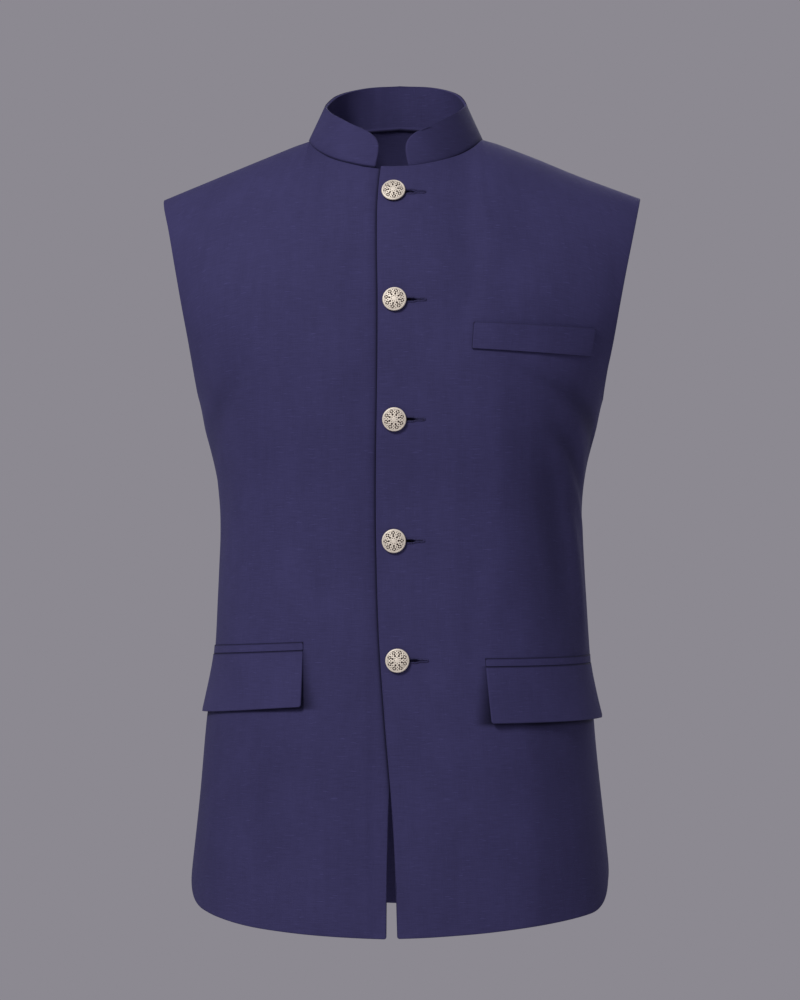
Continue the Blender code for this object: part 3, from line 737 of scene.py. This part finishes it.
def panel(name, face, side, edge, held, rests_on, dense=0.0, cuts=()):
    cell = PANEL_CELL
    share, height, up = panel_grid(face, edge, cell if edge else cell * BACK_COARSER, dense)
    outer, outward = cloth(name, face, side, share, height, up)
    # Painted shade: a dark line along the neckline seam, soft shade in the folds' hollows and, on the fronts, where
    # they turn from the light, beside the over front's edge and round the flaps
    neckline = NECKLINE_PAINTED_SHADE * (np.abs(share[-1]) < NECK_SHARE)
    shade = painted_hollow_shade(name, face, share, height, up)
    if edge:
        shade = np.clip(shade + painted_front_shade(name, side, share, height, up), 0, 1)
    piece = Piece(outer, outer - outward * WALL, 0 if edge else share.shape[1] // 2, shade, (0, 0, 0, neckline))
    put_on_cloth(build_wall(name, piece, 0.0009, cuts), piece, held, rests_on, name)


def strip(name, piece_name, side, share, height, up, clearance, thickness, rounding, pressed):
    """A piece that lies on a front: the front's own points, moved out by its clearance."""
    points, outward = cloth(piece_name, FRONT, side, share, height, up, seams=False)
    inner = points + outward * np.asarray(clearance)[..., None]
    piece = Piece(inner + outward * thickness, inner, pressed=pressed)
    # Painted shade: the dark line along the top edge reaches one row further down
    piece.pressed[-2] = np.maximum(piece.pressed[-2], NEXT_ROW_PAINTED_SHADE * piece.pressed[-1])
    put_on_cloth(build_wall(name, piece, rounding), piece, "hung", [piece_name + "_cloth"], name)


def collar_points(rows, columns):
    """The collar's grid from its tucked foot to its rim, on straight lines from the neckline up."""
    grid = []
    for part in (-COLLAR_TUCK, *rows):
        half_width = NECK[0] + (RIM[0] - NECK[0]) * part
        first = math.degrees(math.asin(float(smooth(COLLAR_ENDS, "from_centre", part)) / half_width))
        angles = np.linspace(first, 360 - first, columns + 1)
        half = np.minimum(angles, 360 - angles)
        low, high = (
            np.stack([*neck_ring(half, *ring), smooth(COLLAR_HEIGHTS, field, half) + gap], axis=-1)
            for ring, field, gap in ((NECK, "neckline", SEAM_GAP), (RIM, "rim", 0))
        )
        row = low + (high - low) * part
        row[:, 0] *= np.where(angles <= 180, 1, -1)
        row[:, :2] *= 1 - (COLLAR_TUCK_IN if part < 0 else 0)
        grid.append(row)
    return np.array(grid)


def shares_at(places):
    """The shares and the rises above the armpit at which the front form passes through places seen from it."""
    shares = np.linspace(0, 1, 201)
    low_x, _, _ = section(FRONT, np.full_like(shares, ARMPIT), shares)
    top_x, _, top_z = top_edge(FRONT, shares)
    found = []
    for across, height in places:
        up = 0.5
        for _ in range(20):
            share = np.interp(across, low_x + (top_x - low_x) * up, shares)
            up = (height - ARMPIT) / (np.interp(share, shares, top_z) - ARMPIT)
        found.append((share, up))
    return np.array(found).T


def corner_inset(radius, above):
    short = radius - min(above, radius)
    return radius - math.sqrt(max(radius**2 - short**2, 0))


def pocket_grid(pocket, start, end, top, bottom, columns, rows, front_corner=0.0, side_corner=0.0):
    """Rows from low to high, between two distances from the centre and two drops below the pocket's top line."""
    share, height = [], []
    for level in np.linspace(0, 1, rows + 1):
        drop = bottom + (top - bottom) * level
        above = abs(bottom - drop)
        near, far = corner_inset(front_corner, above), corner_inset(side_corner, above)
        along = np.linspace(start + near, end - far, columns + 1)
        part = (along - start) / (end - start)
        line = pocket.top_front + (pocket.top_outer - pocket.top_front) * part
        slant = pocket.slant * drop / FLAP_DEPTH * (1 - part)
        heights = line - drop * (1 + pocket.sag * ease(part, -0.1, 0.8))
        share.append((along + slant) / quarter_length(FRONT, heights))
        height.append(heights)
    return np.array(share), np.array(height)


class OnCloth:
    """The over front round one button, as a map from across, up and out to a place in space."""

    def __init__(self, place):
        self.along, self.across = np.linspace(-0.014, 0.014, 15), np.linspace(-0.014, 0.034, 35)
        along, across = np.meshgrid(self.along, self.across, indexing="ij")
        level = place.height + along
        heights = np.minimum(level, ARMPIT)
        shares = (place.aside + across) / quarter_length(FRONT, heights)
        ups = np.maximum(level - ARMPIT, 0) / (top_edge(FRONT, shares)[2] - ARMPIT)
        self.points, self.outward = cloth("front_left", FRONT, 1, shares, heights, ups, seams=False)

    def at(self, across, along, out):
        """The place at each point given."""
        row, column = (
            (part - line[0]) / (line[1] - line[0]) for part, line in ((along, self.along), (across, self.across))
        )
        return between(self.points, row, column) + unit(between(self.outward, row, column)) * np.asarray(out)[:, None]

    def seat(self):
        """A frame at the button: its own Z is the way out of the cloth."""
        zero = np.zeros(1)
        here, off = self.at(zero, zero, zero)[0], self.at(zero, zero, zero + 0.001)[0]
        out = Vector(off - here).normalized()
        up = out.cross(Vector((1, 0, 0))).normalized()
        seat = Matrix((up.cross(out).normalized(), up, out)).transposed().to_4x4()
        seat.translation = Vector(here)
        return seat


def slit_cutter(place):
    """A thin blade through the over front, from under the button towards the side, wider where the button pulls."""
    bm = bmesh.new()
    bmesh.ops.create_grid(bm, x_segments=len(SLIT) - 1, y_segments=1, size=1)
    for index, vert in enumerate(bm.verts):
        row, spot = divmod(index, len(SLIT))
        vert.co = (SLIT[spot].across, (2 * row - 1) * SLIT[spot].half_width, -4 * WALL)
    bmesh.ops.translate(bm, vec=(0, 0, 6 * WALL), verts=thickened(bm))
    face_out(bm)
    bm.transform(OnCloth(place).seat())
    return finished("slit", bm)


def thread_tube(bm, path, radius, on_cloth, sides=6):
    """A short length of thread along a path of across, up and out, closed at both ends."""
    before = set(bm.verts)
    path = np.asarray(path, float)
    steps = len(path) - 1
    bmesh.ops.create_grid(bm, x_segments=sides, y_segments=steps, size=1)
    grid = [vert for vert in bm.verts if vert not in before]
    run = unit(np.gradient(path, axis=0))
    side = unit(np.cross(run, (0, 0, 1)) + (1e-9, 0, 0))
    top = np.cross(side, run)
    turn = np.linspace(0, math.tau, sides + 1)
    thick = radius * np.where((np.arange(steps + 1) == 0) | (np.arange(steps + 1) == steps), 0.25, 1.0)
    ring = side[:, None] * np.cos(turn)[None, :, None] + top[:, None] * np.sin(turn)[None, :, None]
    local = (path[:, None] + ring * thick[:, None, None]).reshape(-1, 3)
    for vert, co in zip(grid, on_cloth.at(*local.T)):
        vert.co = co
    bmesh.ops.remove_doubles(bm, verts=grid, dist=1e-7)


def buttonhole_stitches(place, number, look):
    """Close-set stitches over both lips of a buttonhole, and a bar across its end."""
    on_cloth = OnCloth(place)
    rng = np.random.default_rng(number)
    bm = bmesh.new()
    start, end = 0.0112, SLIT[-1].across
    for lip in (-1, 1):
        for across in np.arange(start, end, STITCH_PITCH):
            half = float(np.interp(across, *np.transpose(SLIT)))
            reach = STITCH_REACH * rng.uniform(0.85, 1.12)
            lean = rng.normal(0, 0.00012)
            path = [
                (across, lip * (half - 0.0001), -0.0012),
                (across, lip * (half - 0.0001), 0.0002),
                (across, lip * (half + 0.0003), 0.00052),
                (across + lean, lip * (half + reach * 0.6), 0.00042),
                (across + 1.5 * lean, lip * (half + reach), -0.0002),
            ]
            thread_tube(bm, path, STITCH_RADIUS, on_cloth)
    for turn in np.linspace(-70, 70, 7):
        angle = math.radians(turn + rng.normal(0, 4))
        far = STITCH_REACH * rng.uniform(0.95, 1.15)
        path = [
            (end + reach * math.cos(angle), reach * math.sin(angle), out)
            for reach, out in ((0.0001, 0.0001), (0.0005, 0.0006), (far * 0.7, 0.00045), (far, -0.0002))
        ]
        thread_tube(bm, path, STITCH_RADIUS * 1.1, on_cloth)
    face_out(bm)
    put_on(finished(f"buttonhole_stitches_{number}", bm, look), "suiting_cloth")


def spot(radius, angle, count, offset, ring, aside, size):
    """How much of each place is inside a ring of equal round spots, with soft edges."""
    part = math.tau / count
    turn = np.mod(angle - offset * part + part / 2, part) - part / 2
    far = np.hypot(radius * np.cos(turn) - ring, radius * np.sin(turn) - aside)
    return 1 - ease(far, size * 0.78, size * 1.22)


def relief(radius, angle):
    """The button's face: how high its pattern stands, from 0 in its recesses to 1 on its rim."""
    field = 0.72 + 0.18 * spot(radius, angle, 8, 0, 0.735, 0, 0.085) + 0.22 * (1 - ease(radius, 0.16, 0.20))
    for count, offset, ring, aside, size in (
        (8, 0.5, 0.250, 0, 0.034),
        (8, 0.0, 0.405, 0, 0.078),
        (8, 0.0, 0.565, 0, 0.060),
        (8, 0.0, 0.785, 0, 0.054),
        (8, 0.0, 0.655, 0.115, 0.058),
        (8, 0.0, 0.655, -0.115, 0.058),
        (8, 0.0, 0.745, 0.120, 0.038),
        (8, 0.0, 0.745, -0.120, 0.038),
        (8, 0.5, 0.550, 0, 0.046),
        (8, 0.5, 0.760, 0, 0.036),
    ):
        field = field - 0.85 * spot(radius, angle, count, offset, ring, aside, size)
    for ring, width, cut in ((0.195, 0.012, 0.34), (0.485, 0.010, 0.20), (0.848, 0.014, 0.46)):
        field = field - cut * bell(radius - ring, width)
    rim = ease(radius, 0.855, 0.885)
    return np.clip(field * (1 - rim) + 1.0 * rim, 0, 1)


def button_mesh(place, look, number, depth):
    """A domed metal button with its pattern raised, a rolled rim, a flat back and a shank."""
    turns, face_rows = ((144, 60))
    face, curl = np.linspace(0, FACE_SHARE, face_rows), np.linspace(0.15, math.pi / 2, 6)
    shank, shank_end = SHANK_RADIUS / BUTTON_RADIUS, -(WALL + FRONT_CLEARANCE - SEAM_GAP)
    radius = np.concatenate([
        face, FACE_SHARE + (1 - FACE_SHARE) * np.sin(curl), [0.985, 0.94, 1.6 * shank, shank, shank, 0],
    ])
    dome = np.concatenate([1 - 0.42 * face**2.2, 0.62 - 0.40 * (1 - np.cos(curl))])
    rise = np.concatenate([
        BUTTON_LIFT + BUTTON_HEIGHT * dome, BUTTON_LIFT + np.array([0.0003, 0, 0, -0.0002]), [shank_end, shank_end],
    ])
    angle = np.linspace(0, math.tau, turns + 1)
    high = np.ones((len(radius), turns + 1))
    # The rim's rolled-under edge and the back take the recesses' colour: painted shade that outlines the button
    high[face_rows + 4 :] = 0.1
    high[:face_rows] = relief(*np.meshgrid(face, angle, indexing="ij"))
    lift = rise[:, None] + 0 * high
    lift[:face_rows] += (high[:face_rows] - 1) * depth
    spun, out = angle + math.radians(place.turn), BUTTON_RADIUS * radius[:, None]
    local = np.stack([out * np.cos(spun), out * np.sin(spun), lift], axis=-1).reshape(-1, 3)
    bm = bmesh.new()
    tone = bm.verts.layers.float.new("relief")
    bmesh.ops.create_grid(bm, x_segments=turns, y_segments=len(radius) - 1, size=1)
    for vert, co, value in zip(bm.verts, local, high.ravel()):
        vert.co = co
        vert[tone] = value
    bmesh.ops.remove_doubles(bm, verts=bm.verts, dist=1e-6)
    bmesh.ops.dissolve_degenerate(bm, dist=1e-7, edges=bm.edges)
    face_out(bm)
    bm.transform(OnCloth(place).seat())
    put_on(finished(f"button_face_{number}", bm, look), "button_metal", f"button_{number}")


class Value:
    """A number in a material's nodes, so that shader maths reads as Python."""

    def __init__(self, graph, socket):
        self.graph = graph
        self.socket = socket

    def maths(self, operation, *others):
        return self.graph.node("ShaderNodeMath", {"operation": operation}, dict(enumerate((self, *others))))

    def __add__(self, other):
        return self.maths("ADD", other)

    def __mul__(self, other):
        return self.maths("MULTIPLY", other)

    def __sub__(self, other):
        return self.maths("SUBTRACT", other)

    def __rsub__(self, other):
        return (self * -1.0) + other

    __radd__ = __add__
    __rmul__ = __mul__

    def sine(self):
        return self.maths("SINE")


class Finish:
    """A material and the one way in which its nodes are added."""

    def __init__(self, name, roughness, **constants):
        self.material = bpy.data.materials.new(name)
        self.material.use_nodes = True
        self.nodes = self.material.node_tree.nodes
        self.shader = self.nodes["Principled BSDF"]
        for socket, value in {"Roughness": roughness, **constants}.items():
            self.shader.inputs[socket.replace("_", " ")].default_value = value
        self.body = self.node("ShaderNodeTexCoord", output=3)

    def feed(self, socket, value):
        if isinstance(value, Value):
            self.material.node_tree.links.new(value.socket, socket)
        else:
            socket.default_value = value

    def node(self, kind, settings=None, inputs=None, output=0):
        made = self.nodes.new(kind)
        for name, value in (settings or {}).items():
            setattr(made, name, value)
        for name, value in (inputs or {}).items():
            self.feed(made.inputs[name], value)
        return Value(self, made.outputs[output])

    def attribute(self, name):
        return self.node("ShaderNodeAttribute", {"attribute_name": name}, output=2)

    def noise(self, source, scale, detail=2.0, roughness=0.5):
        """Noise with its own scale along each axis."""
        vector = self.node("ShaderNodeMapping", inputs={"Vector": source, "Scale": scale})
        inputs = {"Vector": vector, "Scale": 1.0, "Detail": detail, "Roughness": roughness}
        return self.node("ShaderNodeTexNoise", inputs=inputs)

    def rise(self, value, start, end, low=0.0, high=1.0):
        inputs = {"Value": value, "From Min": start, "From Max": end, "To Min": low, "To Max": high}
        return self.node("ShaderNodeMapRange", {"interpolation_type": "SMOOTHSTEP"}, inputs)

    def blend(self, factor, first, second):
        return self.node("ShaderNodeMix", {"data_type": "RGBA"}, {0: factor, 6: first, 7: second}, output=2)

    def bump(self, height, strength=1.0):
        normal = self.node("ShaderNodeBump", inputs={"Height": height, "Strength": strength, "Distance": 1.0})
        self.feed(self.shader.inputs["Normal"], normal)

    def paint(self, colour):
        self.feed(self.shader.inputs["Base Color"], colour)
        return self.material


def rgba(colour, scale=1.0):
    return (*(channel * scale for channel in colour[:3]), 1.0)


def suiting(settings):
    """Navy plain weave: fine threads, short pale slubs along them, soft mottling, and painted shade along seams and
    edges and in hollows.
    """
    finish = Finish(
        "suiting", settings.roughness, Sheen_Weight=settings.sheen, Sheen_Roughness=0.45,
        Sheen_Tint=(0.45, 0.48, 1.0, 1.0), Specular_IOR_Level=0.22,
    )
    run = finish.node("ShaderNodeUVMap", {"uv_map": "cloth"})
    across = finish.node("ShaderNodeSeparateXYZ", inputs={"Vector": run})
    up = Value(finish, across.socket.node.outputs[1])
    turns = math.tau / settings.thread_pitch
    weave = (across * turns).sine() * (up * turns).sine()
    weft = finish.noise(run, (70.0, 1150.0, 1.0), 1.5)
    warp = finish.noise(run, (1150.0, 60.0, 1.0), 1.5)
    slubs = finish.rise(finish.noise(run, (95.0, 620.0, 1.0), 1.0), 0.66, 0.76)
    upright = finish.rise(finish.noise(run, (620.0, 80.0, 7.0), 1.0), 0.70, 0.79)
    mottle = finish.noise(finish.body, (26.0, 26.0, 20.0), 3.0, 0.55)
    streak = finish.noise(run, (140.0, 14.0, 3.0))
    tone = (
        (weft - 0.5) * 0.52 + (warp - 0.5) * 0.26 + weave * 0.05 + (mottle - 0.5) * 0.42
        + (streak - 0.5) * 0.18 + slubs * settings.slubs + upright * (0.35 * settings.slubs) + 0.47
    )
    woven = finish.blend(finish.rise(tone, 0.0, 1.0), rgba(settings.shade), rgba(settings.colour))
    # Painted shade: the dark edge lines and the soft painted shade draw the weave towards the hollow colour
    dark = finish.rise(finish.attribute("pressed"), 0.60, 1.0, 0.0, 0.78) + finish.attribute("shade") * 0.85
    height = weave * 0.00004 + (weft + warp) * 0.00010 + slubs * 0.00012 + upright * 0.00008
    finish.bump(height, strength=settings.weave_depth)
    return finish.paint(finish.blend(finish.rise(dark, 0.0, 1.0), woven, rgba(settings.hollow)))


def sewing_thread(settings):
    """Mercerised navy thread, a little brighter than the cloth along its twist."""
    finish = Finish("sewing thread", 0.6, Specular_IOR_Level=0.25)
    strands = finish.noise(finish.body, (2600.0, 900.0, 2600.0))
    finish.bump(strands * 0.00012)
    tone = finish.rise(strands, 0.35, 0.7)
    return finish.paint(finish.blend(tone, rgba(settings.shade, 0.62), rgba(settings.colour, 1.15)))


def button_metal(settings):
    """Pale gold on what stands up, tarnished brown in the recesses, and the same brown as painted shade on the rim's
    rolled-under edge and on the back.
    """
    finish = Finish("button metal", 0.50, Metallic=0.20)
    tarnish = finish.noise(finish.body, (520.0, 520.0, 520.0), 3.0, 0.6)
    raised = finish.rise(finish.attribute("relief") + (tarnish - 0.5) * 0.10, 0.30, 0.62)
    finish.feed(finish.shader.inputs["Roughness"], finish.rise(raised + tarnish * 0.5, 0.0, 1.4, 0.70, 0.46))
    finish.bump(tarnish * 0.00005, strength=0.6)
    worn = finish.blend(tarnish, rgba(settings.metal, 0.88), rgba(settings.metal, 1.0))
    return finish.paint(finish.blend(raised, rgba(settings.recess), worn))


def pale_floor(settings):
    finish = Finish("pale floor", 0.85)
    cloud = finish.noise(finish.body, (1.6, 1.6, 1.6), 4.0)
    return finish.paint(finish.blend(cloud, rgba(settings.floor, 0.97), rgba(settings.floor, 1.03)))


def tint(name, description, *colour):
    return FloatVectorProperty(
        name=name, description=description, subtype="COLOR", size=3, min=0, max=1, default=colour
    )


def amount(name, description, default, low=0, high=1, subtype="FACTOR", **settings):
    return FloatProperty(
        name=name, description=description, subtype=subtype, min=low, max=high, default=default, **settings
    )


def distance(*settings):
    return amount(*settings, "DISTANCE", unit="LENGTH", precision=5)


def power(name, description, default):
    return amount(name, description, default, 0, 500, "POWER", unit="POWER")


class JacketCloth(PropertyGroup):
    colour: tint("Colour", "Lit threads of the cloth", 0.0585, 0.0535, 0.162)
    shade: tint("Shade", "Darker threads of the cloth", 0.0350, 0.0312, 0.098)
    # The colour of the painted shade along seams and edges and in hollows
    hollow: tint("Hollow", "Cloth along seams and deep in hollows", 0.0045, 0.0035, 0.0220)
    thread_pitch: distance("Thread pitch", "Distance between two threads", 0.00052, 0.0002, 0.004)
    slubs: amount("Slubs", "How much paler the thick places in the threads are", 0.54, 0, 2)
    weave_depth: amount("Weave depth", "Strength of the threads' relief", 0.8)
    roughness: amount("Roughness", "Roughness of the cloth", 0.82)
    sheen: amount("Sheen", "Soft light on the cloth's nap", 0.05)


class JacketButtons(PropertyGroup):
    metal: tint("Metal", "Colour of the raised pattern", 1.0, 0.90, 0.755)
    # Also the colour of the painted shade on the rim's rolled-under edge and the back
    recess: tint("Recess", "Colour of the tarnished recesses", 0.030, 0.012, 0.007)
    depth: distance("Relief", "How deep the pattern is", 0.00042, 0, 0.001)


class JacketStage(PropertyGroup):
    floor: tint("Floor", "Colour of the floor", 0.60, 0.59, 0.60)
    backdrop: tint("Backdrop", "Colour of the empty studio", 0.262, 0.250, 0.283)
    key: power("Key light", "Power of the large light at the front left", 86)
    fill: power("Fill light", "Power of the light at the front right", 1)
    rear: power("Rear light", "Power of the light behind", 30)


class JACKET_OT_fronts(Operator):
    """Make the two fronts, the wearer's left one over the right one and cut for the buttons"""

    bl_idname = "jacket.fronts"
    bl_label = "Fronts"

    def execute(self, context):
        cuts = [slit_cutter(place) for place in BUTTONS]
        panel("front_right", FRONT, -1, FrontEdge("under", "right_front"), "hung", ["back_cloth"], 0.042)
        panel("front_left", FRONT, 1, FrontEdge("over", "left_front"), "hung", ["front_right_cloth"], 0.014, cuts)
        return {"FINISHED"}


class JACKET_OT_back(Operator):
    """Make the back, cut in one piece, with rounded corners at the side vents"""

    bl_idname = "jacket.back"
    bl_label = "Back"

    def execute(self, context):
        panel("back", BACK, 1, None, "hung", ["front_left", "front_right"])
        return {"FINISHED"}


class JACKET_OT_collar(Operator):
    """Make the stand collar with its rounded front ends"""

    bl_idname = "jacket.collar"
    bl_label = "Collar"

    def execute(self, context):
        rows = np.sin(np.linspace(0, math.pi / 2, cells(0.048, COLLAR_CELL) + 1))
        points = collar_points(rows, cells(0.44, COLLAR_CELL))
        outward = unit(-np.cross(np.gradient(points, axis=1), np.gradient(points, axis=0)))
        level = unit(points * (1, 1, 0))
        points[..., 0] += 0.0016 * ease(points[..., 0], 0, 0.06)
        points = leaned(points + level * sunk("front_right", points[..., 0])[..., None])
        # Painted shade: a dark line along the collar's foot at the neckline seam
        piece = Piece(points, points - outward * COLLAR_WALL, points.shape[1] // 2, pressed=(0, 0, 1, 0))
        piece.pressed[1] = 0.84
        # Painted shade: the front of the collar on the wearer's left, turned from the key light, is darker
        piece.shade[:] = 0.46 * ease(points[..., 0], -0.02, 0.06) * ease(-points[..., 1], -0.03, 0.04)
        made = build_wall("collar", piece, 0.0013)
        put_on_cloth(made, piece, "stretched", ["front_left_cloth", "front_right_cloth", "back_cloth"], "collar")
        return {"FINISHED"}


class JACKET_OT_chest_welt(Operator):
    """Make the welt of the empty chest pocket"""

    bl_idname = "jacket.chest_welt"
    bl_label = "Chest welt"

    def execute(self, context):
        low, high = (np.array(edge) for edge in CHEST_WELT)
        rows, columns = cells(0.024, POCKET_CELL), cells(0.112, POCKET_CELL)
        places = []
        for level in np.linspace(0, 1, rows + 1):
            edge = low + (high - low) * level
            places += [edge[:2] + (edge[2:] - edge[:2]) * along for along in np.linspace(0, 1, columns + 1)]
        share, up = shares_at(places).reshape(2, rows + 1, columns + 1)
        height = np.full_like(share, ARMPIT)
        rising = np.linspace(0, 1, rows + 1)[:, None] ** 2
        middle = np.sin(math.pi * np.linspace(0, 1, columns + 1))[None, :]
        clearance = WELT_STAND_OFF * rising * (0.35 + 0.65 * middle)
        # Painted shade: dark lines along the welt's edges
        strip("chest_welt", "front_left", 1, share, height, up, clearance, WALL, 0.0008, (1, 0.9, 1, 0.85))
        return {"FINISHED"}


class JACKET_OT_hip_pockets(Operator):
    """Make the jet and the flap of each hip pocket"""

    bl_idname = "jacket.hip_pockets"
    bl_label = "Hip pockets"

    def execute(self, context):
        columns = cells(FLAP_LENGTH, POCKET_CELL)
        for pocket in HIP_POCKETS:
            piece = "front_left" if pocket.side > 0 else "front_right"
            start, end = pocket.from_centre, pocket.from_centre + FLAP_LENGTH
            share, height = pocket_grid(
                pocket, start - JET_OVERHANG, end + JET_OVERHANG, 0, JET_DEPTH, columns,
                cells(JET_DEPTH, POCKET_CELL),
            )
            clearance = np.full_like(share, -JET_SUNK)
            # Painted shade: dark lines along the jet's edges
            strip("hip_jet_" + pocket.name, piece, pocket.side, share, height, 0 * share, clearance, JET_WALL,
                  0.0005, (1, 1, 1, 1))
            flap_top = JET_DEPTH + SEAM_GAP
            rows = cells(FLAP_DEPTH, POCKET_CELL)
            share, height = pocket_grid(
                pocket, start, end, flap_top, flap_top + FLAP_DEPTH, columns, rows,
                FLAP_FRONT_CORNER, FLAP_SIDE_CORNER,
            )
            fall = np.linspace(1, 0, rows + 1)[:, None] ** FLAP_FALLS
            along = np.linspace(0, 1, columns + 1)[None, :]
            reach = FLAP_FRONT_STAND_OFF + (pocket.stand_off - FLAP_FRONT_STAND_OFF) * ease(along, 0, 1)
            bowed = 0.0024 * np.sin(math.pi * along) * fall
            clearance = reach * fall - FLAP_EMERGES - bowed
            # Painted shade: dark lines along the flap's top, lower edge and outer end
            strip("hip_flap_" + pocket.name, piece, pocket.side, share, height, 0 * share, clearance, FLAP_WALL,
                  0.0009, (0, 0.8, 0.8, 1))
        return {"FINISHED"}


class JACKET_OT_buttonholes(Operator):
    """Sew the stitches round each buttonhole"""

    bl_idname = "jacket.buttonholes"
    bl_label = "Buttonhole stitches"

    def execute(self, context):
        look = sewing_thread(context.scene.jacket_cloth)
        for number, place in enumerate(BUTTONS, start=1):
            buttonhole_stitches(place, number, look)
        return {"FINISHED"}


class JACKET_OT_buttons(Operator):
    """Make the five metal buttons with their raised pattern"""

    bl_idname = "jacket.buttons"
    bl_label = "Buttons"

    def execute(self, context):
        settings = context.scene.jacket_buttons
        look = button_metal(settings)
        for number, place in enumerate(BUTTONS, start=1):
            button_mesh(place, look, number, settings.depth)
        return {"FINISHED"}


class JACKET_OT_cloth(Operator):
    """Weave the jacket's cloth material"""

    bl_idname = "jacket.cloth"
    bl_label = "Cloth"

    def execute(self, context):
        look = suiting(context.scene.jacket_cloth)
        for node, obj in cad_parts.items():
            obj.data.materials.clear()
            obj.data.materials.append(look)
        return {"FINISHED"}


class JACKET_OT_stage(Operator):
    """Set the floor, the soft studio lights and the camera"""

    bl_idname = "jacket.stage"
    bl_label = "Stage"

    def execute(self, context):
        settings = context.scene.jacket_stage
        bm = bmesh.new()
        bmesh.ops.create_circle(bm, cap_ends=True, segments=96, radius=FLOOR_RADIUS)
        bmesh.ops.translate(bm, vec=(0, 0, FLOOR_HEIGHT), verts=bm.verts)
        finished("floor", bm, pale_floor(settings))
        world = bpy.data.worlds.new("studio")
        world.use_nodes = True
        backdrop = world.node_tree.nodes["Background"]
        backdrop.inputs["Color"].default_value = rgba(settings.backdrop)
        backdrop.inputs["Strength"].default_value = 1.0
        context.scene.world = world
        for name, at, aim, size, colour in (
            ("key", (-1.5, -2.9, 1.9), (0, 0, -0.35), 1.1, (1.0, 0.99, 0.98)),
            ("fill", (2.6, -2.4, 0.2), (0, 0, -0.35), 1.6, (0.95, 0.97, 1.0)),
            ("rear", (0.8, 2.9, 1.3), (0, 0, -0.3), 1.8, (1.0, 1.0, 1.0)),
        ):
            lamp = bpy.data.lights.new(name, "AREA")
            lamp.shape, lamp.size, lamp.energy, lamp.color = "DISK", size, getattr(settings, name), colour
            made = bpy.data.objects.new(name, lamp)
            made.location = at
            made.rotation_euler = (Vector(aim) - Vector(at)).to_track_quat("-Z", "Y").to_euler()
            context.scene.collection.objects.link(made)
        lens = bpy.data.cameras.new("camera")
        lens.lens = CAMERA_LENS
        lens.sensor_width = 36
        lens.shift_x = CAMERA_SHIFT
        camera = bpy.data.objects.new("camera", lens)
        camera.location = CAMERA_AT
        camera.rotation_euler = (math.radians(90), 0, math.radians(CAMERA_YAW))
        context.scene.collection.objects.link(camera)
        context.scene.camera = camera
        context.scene.view_settings.view_transform = "Standard"
        return {"FINISHED"}


class JACKET_PT_panel(Panel):
    """Lists the jacket's settings and the pieces in the order they are made"""

    bl_idname = "JACKET_PT_panel"
    bl_label = "Jacket"
    bl_space_type = "VIEW_3D"
    bl_region_type = "UI"
    bl_category = "Jacket"

    def draw(self, context):
        layout = self.layout
        for setting in SETTINGS:
            box, group = layout.box(), getattr(context.scene, setting)
            for name in group.__annotations__:
                box.prop(group, name)
        for maker in MAKERS:
            layout.operator(maker.bl_idname)


SETTINGS = {"jacket_cloth": JacketCloth, "jacket_buttons": JacketButtons, "jacket_stage": JacketStage}
MAKERS = (
    JACKET_OT_cloth, JACKET_OT_back, JACKET_OT_fronts, JACKET_OT_collar, JACKET_OT_chest_welt,
    JACKET_OT_hip_pockets, JACKET_OT_buttonholes, JACKET_OT_buttons, JACKET_OT_stage,
)
CLASSES = (*SETTINGS.values(), *MAKERS, JACKET_PT_panel)


def register():
    for cls in CLASSES:
        bpy.utils.register_class(cls)
    for name, group in SETTINGS.items():
        setattr(bpy.types.Scene, name, PointerProperty(type=group))


def unregister():
    for name in SETTINGS:
        delattr(bpy.types.Scene, name)
    for cls in reversed(CLASSES):
        bpy.utils.unregister_class(cls)


def main():
    register()
    for maker in MAKERS:
        getattr(bpy.ops.jacket, maker.bl_idname.split(".")[1])()


if __name__ == "__main__":
    main()
